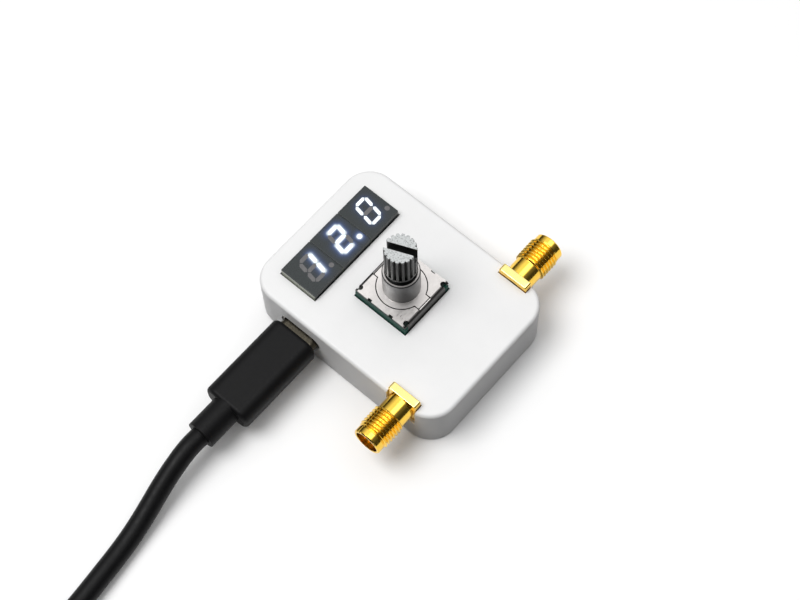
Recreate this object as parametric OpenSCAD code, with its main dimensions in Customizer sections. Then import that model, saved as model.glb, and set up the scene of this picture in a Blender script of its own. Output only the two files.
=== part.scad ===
// Step attenuator for radio frequencies in a small white case: a coaxial jack on each
// long side, a display of three digits, a rotary encoder with push switch, and a
// USB-C supply lead. Millimetres. The origin is the centre of the case's footprint,
// +X points to the output jack, +Y to the display and +Z up from the table.

/* [Case] */
// Outside length, from jack to jack
case_x = 33; // [31:0.5:60]
// Outside width, from the jacks' end to the display's end
case_y = 45; // [43:0.5:80]
// Height of the closed case
case_h = 11.2; // [10.6:0.1:20]
// Radius of the upright corners
corner_r = 5.5; // [3:0.5:7]
// Thickness of the side walls
wall = 1.6; // [1.4:0.1:2.2]
// Thickness of the floor
floor_t = 1.5; // [1:0.1:2.2]
// Rounding of the tray's bottom edge
foot_round = 0.5; // [0.2:0.1:1]
// Height of the lid's edge above the parting line
lid_edge_h = 2; // [1.8:0.1:2.6]
// Thickness of the lid's top
lid_t = 1.1; // [0.8:0.1:1.2]
// Rounding of the lid's top edge
lid_round = 0.8; // [0.2:0.1:1.2]
// Height of the lip that locates the lid in the tray
lip_h = 1.2; // [0.8:0.1:1.4]
// Thickness of the lip
lip_t = 0.7; // [0.5:0.05:0.9]
// Clearance of the lip in the tray
lid_fit = 0.05; // [0.02:0.01:0.1]
// Width of each rest under the board
rest_w = 2.4; // [1.5:0.1:4]
// Width of the board's edge that lies on a rest
rest_bearing = 1.4; // [0.8:0.1:1.8]

/* [Circuit board] */
// Thickness of the board
board_t = 1.6; // [1:0.1:1.6]
// Depth of the board's top below the lid's top
board_drop = 2.1; // [2:0.1:2.6]
// Gap between the board's edge and the wall
board_gap = 0.4; // [0.2:0.05:0.6]
// Side of the square attenuator chip
chip_w = 4; // [3:0.5:6]
// Height of the attenuator chip
chip_h = 0.85; // [0.5:0.05:0.85]
// Side of the square microcontroller
controller_w = 7; // [4:0.5:9]
// Height of the microcontroller
controller_h = 1.4; // [0.8:0.1:1.6]

/* [Coaxial jacks] */
// Distance from the board's end to the jacks' axis
jack_inset = 5.85; // [4:0.05:8]
// Side of the square flange
flange_w = 6.35; // [5.5:0.05:7]
// Thickness of the flange
flange_t = 1.6; // [1:0.1:2.5]
// Length of the barrel in front of the flange
barrel_l = 9.5; // [7:0.1:14]
// Outside diameter of the barrel's thread
thread_d = 6.35; // [6:0.05:7]
// Diameter of the smooth neck behind the thread
neck_d = 5.6; // [5:0.1:6]
// Length of the smooth neck
neck_l = 3.2; // [1:0.1:4]
// Length of the smooth lip in front of the thread
lip_l = 1.7; // [0.5:0.1:2]
// Diameter of the smooth lip
lip_d = 5.8; // [5.6:0.05:6]
// Diameter of the open mouth
mouth_d = 4.7; // [4.6:0.05:4.9]
// Depth of the open mouth
mouth_depth = 2; // [1.5:0.1:3]
// Diameter of the insulator
insulator_d = 4.1; // [3.5:0.1:4.4]
// Diameter of the centre contact
contact_d = 1.27; // [1.1:0.01:1.5]
// Diameter of the pin that is soldered to the board
pin_d = 0.8; // [0.5:0.05:0.9]
// Length of the legs that grip the board
leg_l = 3.8; // [2:0.1:5]
// Width of a leg
leg_w = 1; // [0.7:0.05:1.2]
// Thickness of a leg
leg_t = 0.8; // [0.4:0.05:0.8]

/* [Display] */
// Width of one digit's housing
tile_x = 7.65; // [7:0.05:8.2]
// Height of one digit's housing, along the digit
tile_y = 8.3; // [7.5:0.05:10]
// Thickness of a housing above the board
tile_h = 3.64; // [2.5:0.02:6]
// Distance from the board's end to the display
tile_edge = 2; // [1.9:0.1:4]
// Gap between neighbouring housings
tile_gap = 0.05; // [0.02:0.01:0.2]
// Clearance of the display in the lid's window
tile_fit = 0.2; // [0.1:0.05:0.4]
// Distance between a digit's upright segments
digit_w = 2.6; // [2:0.05:3.2]
// Distance between a digit's top and bottom segments
digit_h = 4.8; // [4:0.05:5.4]
// Slant of the digits in degrees
digit_slant = 10; // [0:1:12]
// Width of a segment
segment_w = 0.8; // [0.5:0.05:0.9]
// Depth of a segment in the housing
segment_depth = 0.6; // [0.3:0.05:1.5]
// Gap between two segments' points
segment_gap = 0.2; // [0.08:0.01:0.3]
// Diameter of the decimal point
point_d = 1; // [0.7:0.05:1.2]

/* [Encoder] */
// Distance of the encoder's axis from the case's centre, along Y
encoder_y = -0.7; // [-2:0.1:1]
// Side of the square body
encoder_w = 12; // [11.5:0.1:12.5]
// Height of the body's top plate above the board
encoder_h = 4.73; // [4.6:0.01:7]
// Thickness of the folded steel frame
plate_t = 0.5; // [0.3:0.05:0.6]
// Width of the frame's folded sides
fold_w = 10.2; // [8:0.1:10.6]
// Width of the lugs that are soldered into the board
lug_w = 2.1; // [1.5:0.1:3]
// Diameter of the ring around the bushing
ring_d = 9.2; // [8.6:0.1:9.6]
// Width of the ring's two arms
arm_w = 2.9; // [2:0.1:3.5]
// Gap around the ring and its arms
ring_gap = 0.2; // [0.1:0.05:0.3]
// Outside diameter of the bushing
bushing_d = 7; // [6.8:0.1:8]
// Height of the bushing above the top plate
bushing_h = 6.3; // [4:0.1:9]
// Diameter of the shaft
shaft_d = 6; // [5.5:0.05:6.2]
// Radial clearance of the shaft in the bushing
shaft_fit = 0.05; // [0.02:0.01:0.08]
// Height of the shaft's end above the top plate
shaft_h = 15; // [12:0.1:25]
// Number of splines on the shaft
splines = 18; // [12:1:24]
// Depth of the grooves between the splines
spline_depth = 0.45; // [0.2:0.05:0.5]
// Share of the shaft's outside that the grooves take
spline_share = 0.62; // [0.3:0.02:0.8]
// Length of the plain neck between bushing and splines
shaft_neck_l = 1.3; // [1:0.1:2.5]
// Diameter of the plain neck
shaft_neck_d = 5; // [4.2:0.1:5.2]
// Width of the slot in the shaft's end
slot_w = 1.3; // [0.8:0.1:1.6]
// Depth of the slot
slot_depth = 3; // [1.5:0.1:4]
// Direction of the slot at rest, in degrees from +X
slot_angle = 113; // [0:1:180]
// Stroke of the push switch
push_stroke = 0.5; // [0.2:0.05:0.6]
// Number of detents in one turn
detents = 20; // [15:1:24]

/* [USB supply] */
// Distance from the board's end to the socket's axis
usb_inset = 10.8; // [8:0.1:13]
// Width of the socket's shell
socket_w = 8.94; // [8.9:0.02:9.4]
// Height of the socket's shell
socket_h = 3.26; // [3.2:0.02:3.6]
// Depth of the socket
socket_l = 7.35; // [6.9:0.05:9]
// Sheet thickness of socket and plug shells
shell_t = 0.28; // [0.2:0.02:0.3]
// Distance of the socket's mouth behind the wall's face
socket_recess = 0.2; // [0:0.1:1]
// Clearance of the wall's opening around the socket
socket_fit = 0.25; // [0.15:0.05:0.35]
// Width of the plug's metal nose
nose_w = 8.25; // [8.1:0.01:8.3]
// Height of the plug's metal nose
nose_h = 2.4; // [2.2:0.05:2.5]
// Length of the plug's metal nose
nose_l = 6.65; // [6:0.05:7]
// Length of the nose that stays in sight
nose_shown = 1.3; // [0.5:0.1:2]
// Width of the plug's grip
grip_w = 10; // [9:0.1:12]
// Thickness of the plug's grip
grip_h = 5.8; // [5:0.1:7]
// Length of the plug's grip
grip_l = 18.6; // [14:0.1:26]
// Rounding of the plug's grip
grip_round = 2.3; // [1:0.1:2.4]
// Diameter of the lead's strain relief
relief_d = 5.8; // [4.5:0.1:6.5]
// Length of the strain relief
relief_l = 6.6; // [4:0.1:12]
// Diameter of the lead
lead_d = 3.9; // [3:0.1:4.5]
// Mean diameter of the lead's coil
coil_d = 42.8; // [39:0.1:50]
// Turns of the coil that lie side by side
coil_across = 4; // [2:1:5]
// Layers of turns in the coil
coil_layers = 2; // [1:1:3]
// Thickness of the tie around the coil
tie_t = 0.5; // [0.3:0.05:0.8]
// Width of the tie
tie_w = 4; // [2:0.5:8]
// Width of the far plug's metal shell
far_shell_w = 12; // [11.9:0.05:12.2]
// Height of the far plug's metal shell
far_shell_h = 4.5; // [4.4:0.05:4.6]
// Length of the far plug's metal shell
far_shell_l = 12; // [10:0.1:14]
// Width of the far plug's grip
far_grip_w = 15.4; // [14:0.1:18]
// Thickness of the far plug's grip
far_grip_h = 7.8; // [6.5:0.1:9]
// Length of the far plug's grip
far_grip_l = 19; // [16:0.1:30]

/* [Hidden] */
$fn = 64;
cut = 0.5;
snug = 0.02;

// Case levels and inner outline
parting_z = case_h - lid_edge_h;
inner_x = case_x - 2 * wall;
inner_y = case_y - 2 * wall;
inner_r = corner_r - wall;
lid_under = case_h - lid_t;

// Circuit board
board_top = case_h - board_drop;
board_bottom = board_top - board_t;
board_x = inner_x - 2 * board_gap;
board_y = inner_y - 2 * board_gap;
board_r = inner_r - board_gap;
rest_depth = board_gap + rest_bearing;
end_rest_x = board_x / 4;
side_rest_y = encoder_y;
hole_fit = 0.2;
// Regulator as length, width and height, with its place under the board
regulator_size = [2.9, 1.6, 1.1];
regulator_place = [board_x / 4, board_y / 4];
// Capacitors as length, width and height, with their places beside the chip
capacitor_size = [1.6, 0.8, 0.8];
capacitor_gap = 1.2;
capacitor_places = [
    for (side = [-1, 1]) [side * ((chip_w + capacitor_size[0]) / 2 + capacitor_gap), 0],
    for (side = [-1, 1]) [side * chip_w / 2, (chip_w + capacitor_size[1]) / 2 + capacitor_gap]
];
controller_y = board_y / 4;

// Coaxial jacks
jack_y = jack_inset - board_y / 2;
jack_z = board_top + pin_d / 2 + snug;
jack_fit = 0.12;
barrel_chamfer = 0.2;
contact_bore_d = 0.72 * contact_d;
contact_bore_l = 2.6;
pin_l = 3;

// Display
display_x = 3 * tile_x + 2 * tile_gap;
display_y = board_y / 2 - tile_edge - tile_y / 2;
digit_centre = [0.2, 0.07];
point_place = [2.9, -2.2];

// Encoder levels
plate_top = board_top + encoder_h;
plate_bottom = plate_top - plate_t;
bend_inside_r = 0.1;
bend_r = plate_t + bend_inside_r;
fold_lift = 0.7;
fold_bottom = board_top + fold_lift;
bushing_flange_t = 0.5;
bushing_flange_rim = 0.8;
bushing_flange_d = encoder_w - 2 * bushing_flange_rim;
bushing_flange_z = plate_bottom - bushing_flange_t;
bushing_top = plate_top + bushing_h;
bushing_chamfer = 0.2;
keyhole_d = ring_d + 2 * ring_gap;
base_y = encoder_w - 2 * plate_t - 2 * snug;
base_fit = 0.05;
corner_relief = 0.7;
bend_relief_d = 1.1;
base_floor_t = 0.5;
dome_floor = board_top + base_floor_t;
dome_d = 4.8;
dome_h = push_stroke;
dome_t = 0.12;
dome_fit = 0.2;
dome_room_h = 0.7;
rotor_floor = dome_floor + dome_room_h;
rotor_wall = 1.2;
rotor_room_d = encoder_w - 2 * rotor_wall;
rotor_gap = 0.3;
rotor_d = rotor_room_d - 2 * rotor_gap;
rotor_h = 1;
rotor_z = rotor_floor + base_fit;
detent_d = 0.7;
notch_size = [0.35, 0.9];
notch_pitch = 5;

// Shaft levels
shaft_foot = dome_floor + dome_h + base_fit;
drive_d = 4;
drive_flat = 3;
drive_fit = 0.06;
shaft_collar_step = 0.6;
shaft_collar_play = 0.2;
shaft_collar_d = shaft_d + 2 * shaft_collar_step;
shaft_collar_top = bushing_flange_z - base_fit;
shaft_collar_h = bushing_flange_z - rotor_z - rotor_h - push_stroke - shaft_collar_play;
neck_sunk = 0.4;
neck_start = bushing_top - neck_sunk;
spline_start = bushing_top + shaft_neck_l;
spline_collar_h = 0.4;
shaft_tip = plate_top + shaft_h;
tip_chamfer = 0.12;

// Encoder terminals: three on the output side, two on the input side
terminal_pitch = 2.5;
terminal_t = 0.35;
terminal_w = 0.8;
terminal_out = 0.6;
terminal_lift = 0.75;
terminal_top = board_top + terminal_lift;
terminal_below = 1;
terminal_places = [
    for (i = [-1:1]) [1, i * terminal_pitch],
    for (i = [-1, 1]) [-1, i * terminal_pitch]
];

// USB socket and plug
usb_y = board_y / 2 - usb_inset;
usb_z = board_bottom - socket_h / 2;
socket_mouth = -case_x / 2 + socket_recess;
socket_back = socket_mouth + socket_l;
socket_back_t = 1.2;
tongue_size = [4.4, 6.69, 0.7];
nose_start = -case_x / 2 - nose_shown;
grip_end = nose_start - grip_l;
relief_end = grip_end - relief_l;
grip_edge = 0.8;

// The lead sinks to the table and runs on to its coil. Its shape is a list of distance
// from the exit, shift along Y and share of the drop
lead_lift = 0.05;
lead_z = lead_d / 2 + lead_lift;
lead_exit = [relief_end, usb_y, usb_z];
lead_shape = [
    [0, 0, 0], [3, 0, 0], [7, -0.3, 0.17], [11, -0.8, 0.43], [15, -1.5, 0.69], [19, -2.2, 0.9],
    [23, -2.8, 1], [29, -3.5, 1], [35, -4.1, 1], [41, -4.5, 1], [45, -4.6, 1]
];
lead_shift = lead_shape[len(lead_shape) - 1][1];

// The coil lies beside the lead's end, with the outermost turn in line with it
coil_far = 60;
coil_slack = 0.1;
coil_section = [coil_across * lead_d + 2 * coil_slack, coil_layers * lead_d + coil_slack];
coil_round = lead_d / 2;
coil_z = tie_t + lead_lift;
coil_turn_r = (coil_d + (coil_across - 1) * lead_d) / 2;
coil_chord = sqrt(pow((coil_d + coil_section[0]) / 2, 2) - pow(coil_turn_r, 2));
coil_place = [relief_end - coil_far, usb_y + lead_shift - coil_turn_r];
coil_middle = coil_z + coil_section[1] / 2;
layer_rise = (coil_layers - 1) * lead_d / 2;
lead_end = [coil_place[0] + coil_chord - cut, usb_y + lead_shift, coil_middle - layer_rise];
lead_route = concat(
    [for (p = lead_shape) lead_exit - [p[0], -p[1], p[2] * (usb_z - lead_z)]],
    [lead_end]
);
tie_fit = 0.02;
tie_angle = 360 * tie_w / (PI * coil_d);

// Tail and far plug, with the tail's shape as shares of its length and of its drop
far_y = coil_place[1] - coil_turn_r;
far_z = far_grip_h / 2;
tail_l = 14;
tail_shape = [[0, 0], [0.1, 0], [0.25, 0.12], [0.45, 0.5], [0.65, 0.88], [0.8, 1], [1, 1]];
tail_start = [lead_end[0], far_y, coil_middle + layer_rise];
tail_route = [
    for (p = tail_shape) tail_start + [p[0] * tail_l, 0, p[1] * (far_z - tail_start[2])]
];
far_shell_x = tail_start[0] + tail_l + relief_l + far_grip_l;
far_tongue_h = 1.9;
far_tongue_sunk = 0.4;

// Shared shapes

// Flat rectangle with round corners, centred
module round_rect(x, y, r) {
    square([x - 2 * r, y], center = true);
    square([x, y - 2 * r], center = true);
    for (sx = [-1, 1], sy = [-1, 1])
        translate([sx * (x / 2 - r), sy * (y / 2 - r)]) circle(r);
}

// Flat bar with full-round ends, centred
module stadium(w, h) {
    square([w - h, h], center = true);
    for (side = [-1, 1]) translate([side * (w - h) / 2, 0]) circle(d = h);
}

// Section of a slab from -w/2 to w/2 whose long edges are rounded
module slab_section(w, h, top, bottom) {
    translate([-w / 2, bottom]) square([w, h - top - bottom]);
    translate([-w / 2 + bottom, 0]) square([w - 2 * bottom, h / 2]);
    translate([-w / 2 + top, h / 2]) square([w - 2 * top, h / 2]);
    for (side = [-1, 1]) {
        if (top > 0) translate([side * (w / 2 - top), h - top]) circle(top);
        if (bottom > 0) translate([side * (w / 2 - bottom), bottom]) circle(bottom);
    }
}

// Block with upright corners of radius r and rounded top and bottom edges
module soft_block(x, y, h, r, top, bottom) {
    for (sx = [-1, 1], sy = [-1, 1])
        translate([sx * (x / 2 - r), sy * (y / 2 - r), 0])
            rotate_extrude() intersection() {
                slab_section(2 * r, h, top, bottom);
                square([2 * r, h]);
            }
    rotate([90, 0, 0]) linear_extrude(y - 2 * r, center = true) slab_section(x, h, top, bottom);
    rotate([90, 0, 90]) linear_extrude(x - 2 * r, center = true) slab_section(y, h, top, bottom);
}

// Extrusion along +X of a flat shape drawn in Y and Z
module along_x(length) {
    rotate([90, 0, 90]) linear_extrude(length) children();
}

// Turns a jack's parts to the input side or leaves them on the output side
module on_side(side) {
    rotate([0, 0, side > 0 ? 0 : 180])
        translate([board_x / 2, side * jack_y, jack_z]) children();
}

// Tube along a route of points, with flat ends
function unit(v) = v / norm(v);
function heading(route, i) =
    unit(route[min(i + 1, len(route) - 1)] - route[max(i - 1, 0)]);
function ring(centre, dir, r, sides) =
    let (across = unit(cross(dir, [0, 0, 1])), up = cross(across, dir))
    [for (k = [0:sides - 1])
        centre + r * (cos(360 * k / sides) * across + sin(360 * k / sides) * up)];

module tube(route, d, sides = 8) {
    last = len(route) - 1;
    end_headings = [unit(route[1] - route[0]), unit(route[last] - route[last - 1])];
    points = [
        for (i = [0:last])
            each ring(route[i],
                      i == 0 ? end_headings[0] : i == last ? end_headings[1] : heading(route, i),
                      d / 2, sides)
    ];
    walls = [
        for (i = [0:last - 1], k = [0:sides - 1])
            let (a = i * sides, b = a + sides, n = (k + 1) % sides)
            [a + k, a + n, b + n, b + k]
    ];
    start_cap = [for (k = [sides - 1:-1:0]) k];
    end_cap = [for (k = [0:sides - 1]) last * sides + k];
    polyhedron(points, concat([start_cap], walls, [end_cap]));
}

// Case

module jack_notches() {
    for (side = [-1, 1]) on_side(side)
        translate([-jack_fit, -flange_w / 2 - jack_fit, -flange_w / 2 - jack_fit])
            cube([wall + board_gap + jack_fit + cut, flange_w + 2 * jack_fit, case_h]);
}

// Blocks at the four ends and two sides of the board, on the walls, from z up
module board_blocks(z, h) {
    for (sx = [-1, 1], sy = [-1, 1])
        translate([sx * end_rest_x - rest_w / 2, sy * (inner_y - rest_depth) / 2 - rest_depth / 2, z])
            cube([rest_w, rest_depth, h]);
    for (sx = [-1, 1])
        translate([sx * (inner_x - rest_depth) / 2 - rest_depth / 2, side_rest_y - rest_w / 2, z])
            cube([rest_depth, rest_w, h]);
}

module case_tray() {
    color("white") {
        difference() {
            soft_block(case_x, case_y, parting_z, corner_r, 0, foot_round);
            translate([0, 0, floor_t]) linear_extrude(case_h) round_rect(inner_x, inner_y, inner_r);
            translate([0, 0, parting_z - lip_h])
                linear_extrude(case_h)
                    round_rect(inner_x + 2 * (lip_t + lid_fit), inner_y + 2 * (lip_t + lid_fit),
                               inner_r + lip_t + lid_fit);
            jack_notches();
            translate([-case_x / 2 - cut, usb_y, usb_z])
                along_x(wall + 2 * cut)
                    stadium(socket_w + 2 * socket_fit, socket_h + 2 * socket_fit);
        }
        board_blocks(floor_t, board_bottom - floor_t);
    }
}

module case_lid() {
    color("white") {
        difference() {
            union() {
                translate([0, 0, parting_z])
                    soft_block(case_x, case_y, lid_edge_h, corner_r, lid_round, 0);
                translate([0, 0, parting_z - lip_h + lid_fit])
                    linear_extrude(lip_h)
                        round_rect(inner_x + 2 * lip_t, inner_y + 2 * lip_t, inner_r + lip_t);
            }
            translate([0, 0, parting_z - lip_h - cut])
                linear_extrude(lid_under - parting_z + lip_h + cut)
                    round_rect(inner_x, inner_y, inner_r);
            jack_notches();
            translate([0, display_y, lid_under - cut])
                linear_extrude(lid_t + 2 * cut)
                    square([display_x + 2 * tile_fit, tile_y + 2 * tile_fit], center = true);
            translate([0, encoder_y, lid_under - cut])
                linear_extrude(lid_t + 2 * cut)
                    square(encoder_w + 2 * tile_fit, center = true);
        }
        board_blocks(board_top, lid_under - board_top);
    }
}

// Circuit board

module circuit_board() {
    color("seagreen")
        translate([0, 0, board_bottom])
            linear_extrude(board_t)
                difference() {
                    round_rect(board_x, board_y, board_r);
                    for (place = terminal_places)
                        translate([place[0] * (encoder_w / 2 + terminal_out), encoder_y + place[1]])
                            circle(d = terminal_w + 2 * hole_fit);
                    for (side = [-1, 1])
                        translate([0, encoder_y + side * (encoder_w - plate_t) / 2])
                            square([lug_w + 2 * hole_fit, plate_t + 2 * hole_fit], center = true);
                }
}

module attenuator_chip() {
    color("dimgray")
        translate([0, jack_y, board_top + chip_h / 2]) cube([chip_w, chip_w, chip_h], center = true);
}

module microcontroller() {
    color("dimgray")
        translate([0, controller_y, board_bottom - controller_h / 2])
            cube([controller_w, controller_w, controller_h], center = true);
}

module voltage_regulator() {
    color("dimgray")
        translate([regulator_place[0], regulator_place[1], board_bottom - regulator_size[2] / 2])
            cube(regulator_size, center = true);
}

module chip_capacitors() {
    color("tan")
        for (place = capacitor_places)
            translate([place[0], jack_y + place[1], board_top + capacitor_size[2] / 2])
                cube(capacitor_size, center = true);
}

// Coaxial jacks, drawn with the flange's back at the origin and the mouth towards +X

module jack_body() {
    front = flange_t + barrel_l;
    color("gold") {
        difference() {
            union() {
                translate([0, -flange_w / 2, -flange_w / 2]) cube([flange_t, flange_w, flange_w]);
                rotate([0, 90, 0]) {
                    cylinder(h = flange_t + neck_l + cut, d = neck_d);
                    translate([0, 0, flange_t + neck_l])
                        cylinder(h = barrel_l - neck_l - lip_l, d = thread_d);
                    translate([0, 0, front - lip_l - cut])
                        cylinder(h = lip_l + cut - barrel_chamfer, d = lip_d);
                    translate([0, 0, front - barrel_chamfer])
                        cylinder(h = barrel_chamfer, d1 = lip_d, d2 = lip_d - 2 * barrel_chamfer);
                }
            }
            rotate([0, 90, 0]) {
                translate([0, 0, -cut]) cylinder(h = front + 2 * cut, d = insulator_d + 2 * snug);
                translate([0, 0, front - mouth_depth]) cylinder(h = mouth_depth + cut, d = mouth_d);
            }
        }
        for (side = [-1, 1], under = [0, 1])
            translate([-leg_l, side * (flange_w - leg_w) / 2 - leg_w / 2,
                       board_top - jack_z - under * (board_t + leg_t)])
                cube([leg_l, leg_w, leg_t]);
    }
}

module jack_insulator() {
    color("ivory")
        rotate([0, 90, 0])
            difference() {
                cylinder(h = flange_t + barrel_l - mouth_depth, d = insulator_d);
                translate([0, 0, -cut])
                    cylinder(h = flange_t + barrel_l, d = contact_d + 2 * snug);
            }
}

module jack_contact() {
    front = flange_t + barrel_l - mouth_depth;
    color("gold")
        rotate([0, 90, 0])
            difference() {
                union() {
                    cylinder(h = front, d = contact_d);
                    translate([0, 0, -pin_l]) cylinder(h = pin_l + cut, d = pin_d);
                }
                translate([0, 0, front - contact_bore_l])
                    cylinder(h = contact_bore_l + cut, d = contact_bore_d);
            }
}

module input_jack_body() { on_side(-1) jack_body(); }
module input_jack_insulator() { on_side(-1) jack_insulator(); }
module input_jack_contact() { on_side(-1) jack_contact(); }
module output_jack_body() { on_side(1) jack_body(); }
module output_jack_insulator() { on_side(1) jack_insulator(); }
module output_jack_contact() { on_side(1) jack_contact(); }

// Display, each digit drawn about its own centre on the board

function slanted(p) = digit_centre + [p[0] + tan(digit_slant) * p[1], p[1]];

// Bar from p to q with pointed ends
function bar(p, q) =
    let (dir = unit(q - p), side = [-dir[1], dir[0]], half = segment_w / 2,
         a = p + segment_gap / 2 * dir, b = q - segment_gap / 2 * dir)
    [a, a + half * (dir - side), b - half * (dir + side), b,
     b - half * (dir - side), a + half * (dir + side)];

corner_points = [for (y = [1, 0, -1]) [for (x = [-1, 1]) [x * digit_w / 2, y * digit_h / 2]]];
segment_bars = [
    for (row = corner_points) bar(row[0], row[1]),
    for (i = [0, 1], side = [0, 1]) bar(corner_points[i + 1][side], corner_points[i][side])
];

module segment_shapes(fit = 0) {
    for (b = segment_bars) polygon([for (p = b) slanted(p)]);
    translate(point_place) circle(d = point_d + 2 * fit);
}

module at_digit(i) {
    translate([(i - 2) * (tile_x + tile_gap), display_y, board_top]) children();
}

module digit_housing(i) {
    color("darkslategray")
        at_digit(i)
            difference() {
                translate([-tile_x / 2, -tile_y / 2, 0]) cube([tile_x, tile_y, tile_h]);
                translate([0, 0, tile_h - segment_depth])
                    linear_extrude(segment_depth + cut) segment_shapes(snug);
            }
}

module digit_segments(i) {
    color("azure")
        at_digit(i)
            translate([0, 0, tile_h - segment_depth]) linear_extrude(segment_depth) segment_shapes();
}

module digit_1_housing() { digit_housing(1); }
module digit_1_segments() { digit_segments(1); }
module digit_2_housing() { digit_housing(2); }
module digit_2_segments() { digit_segments(2); }
module digit_3_housing() { digit_housing(3); }
module digit_3_segments() { digit_segments(3); }

// Rotary encoder

module encoder_base() {
    color("darkgreen")
        translate([0, encoder_y, 0])
            difference() {
                union() {
                    translate([-encoder_w / 2, -base_y / 2, board_top])
                        cube([encoder_w, base_y, plate_bottom - board_top]);
                    for (side = [-1, 1])
                        translate([side * (encoder_w + fold_w) / 4 - (encoder_w - fold_w) / 4 + snug,
                                   -encoder_w / 2, board_top])
                            cube([(encoder_w - fold_w) / 2 - 2 * snug, encoder_w,
                                  plate_bottom - corner_relief - board_top]);
                }
                translate([0, 0, bushing_flange_z])
                    cylinder(h = encoder_h, d = bushing_flange_d + 2 * base_fit);
                translate([0, 0, rotor_floor]) cylinder(h = encoder_h, d = rotor_room_d);
                translate([0, 0, dome_floor]) cylinder(h = encoder_h, d = dome_d + 2 * dome_fit);
            }
}

// Section of the frame across Y: a top plate with both sides folded down
module fold_section() {
    difference() {
        translate([0, fold_bottom])
            slab_section(encoder_w, plate_top - fold_bottom, bend_r, 0);
        translate([-encoder_w / 2 + plate_t, fold_bottom - cut])
            square([encoder_w - 2 * plate_t, plate_bottom - fold_bottom + cut]);
    }
}

module encoder_frame() {
    color("silver")
        translate([0, encoder_y, 0]) {
            difference() {
                translate([-encoder_w / 2, 0, 0]) along_x(encoder_w) fold_section();
                for (side = [-1, 1]) {
                    translate([side * (encoder_w + fold_w) / 4 - (encoder_w - fold_w) / 4,
                               -encoder_w, fold_bottom - cut])
                        cube([(encoder_w - fold_w) / 2, 2 * encoder_w,
                              plate_bottom - fold_bottom + cut]);
                    for (end = [-1, 1]) {
                        translate([side * encoder_w / 2, end * notch_pitch / 2, plate_top])
                            cube([2 * notch_size[0], notch_size[1], 4 * plate_t], center = true);
                        translate([side * fold_w / 2, end * (encoder_w / 2 - plate_t), plate_bottom - plate_t])
                            cylinder(h = 2 * plate_t + cut, d = bend_relief_d);
                    }
                }
                translate([0, 0, plate_bottom - cut])
                    cylinder(h = plate_t + 2 * cut, d = keyhole_d);
                translate([-arm_w / 2 - ring_gap, -encoder_w / 2 + plate_t, plate_bottom - cut])
                    cube([arm_w + 2 * ring_gap, encoder_w - 2 * plate_t, plate_t + 2 * cut]);
            }
            for (side = [-1, 1])
                translate([-lug_w / 2, side * (encoder_w - plate_t) / 2 - plate_t / 2,
                           board_bottom - terminal_below])
                    cube([lug_w, plate_t, fold_bottom - board_bottom + terminal_below + plate_t]);
        }
}

module encoder_bushing() {
    color("darkgray")
        translate([0, encoder_y, 0])
            difference() {
                union() {
                    translate([0, 0, bushing_flange_z])
                        cylinder(h = bushing_flange_t, d = bushing_flange_d);
                    translate([0, 0, bushing_flange_z])
                        cylinder(h = plate_top - bushing_flange_z, d = ring_d);
                    translate([-arm_w / 2, -encoder_w / 2 + plate_t + ring_gap, plate_bottom])
                        cube([arm_w, encoder_w - 2 * plate_t - 2 * ring_gap, plate_t]);
                    translate([0, 0, plate_bottom])
                        cylinder(h = bushing_top - bushing_chamfer - plate_bottom, d = bushing_d);
                    translate([0, 0, bushing_top - bushing_chamfer])
                        cylinder(h = bushing_chamfer, d1 = bushing_d,
                                 d2 = bushing_d - 2 * bushing_chamfer);
                }
                translate([0, 0, bushing_flange_z - cut])
                    cylinder(h = bushing_top, d = shaft_d + 2 * shaft_fit);
            }
}

// Round bar with two flats that drives the rotor
module drive_bar(h, fit = 0) {
    intersection() {
        cylinder(h = h, d = drive_d + 2 * fit);
        translate([0, 0, h / 2])
            cube([drive_d + 2 * cut, drive_flat + 2 * fit, h + 2 * cut], center = true);
    }
}

module encoder_rotor() {
    color("whitesmoke")
        translate([0, encoder_y, rotor_z])
            difference() {
                cylinder(h = rotor_h, d = rotor_d);
                translate([0, 0, -cut]) rotate([0, 0, slot_angle]) drive_bar(rotor_h + 2 * cut, drive_fit);
                for (i = [0:detents - 1])
                    rotate([0, 0, 360 * i / detents])
                        translate([rotor_d / 2, 0, -cut]) cylinder(h = rotor_h + 2 * cut, d = detent_d);
            }
}

module spline_grooves() {
    reach = 1 + cut / spline_depth;
    half_w = reach * spline_share * PI * shaft_d / 2 / splines;
    for (i = [0:splines - 1])
        rotate([0, 0, 360 * i / splines])
            translate([0, 0, spline_start + spline_collar_h])
                linear_extrude(shaft_h)
                    polygon([[shaft_d / 2 - spline_depth, 0],
                             [shaft_d / 2 + cut, half_w], [shaft_d / 2 + cut, -half_w]]);
}

module encoder_shaft() {
    color("lightgray")
        translate([0, encoder_y, 0])
            difference() {
                union() {
                    translate([0, 0, shaft_foot]) rotate([0, 0, slot_angle])
                        drive_bar(shaft_collar_top - shaft_foot);
                    translate([0, 0, shaft_collar_top - shaft_collar_h])
                        cylinder(h = shaft_collar_h, d = shaft_collar_d);
                    translate([0, 0, shaft_collar_top - shaft_collar_h])
                        cylinder(h = neck_start - shaft_collar_top + shaft_collar_h, d = shaft_d);
                    translate([0, 0, neck_start - cut])
                        cylinder(h = spline_start - neck_start + 2 * cut, d = shaft_neck_d);
                    translate([0, 0, spline_start])
                        cylinder(h = shaft_tip - tip_chamfer - spline_start, d = shaft_d);
                    translate([0, 0, shaft_tip - tip_chamfer])
                        cylinder(h = tip_chamfer, d1 = shaft_d, d2 = shaft_d - 2 * tip_chamfer);
                }
                spline_grooves();
                rotate([0, 0, slot_angle])
                    translate([-shaft_d, -slot_w / 2, shaft_tip - slot_depth])
                        cube([2 * shaft_d, slot_w, slot_depth + cut]);
            }
}

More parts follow.
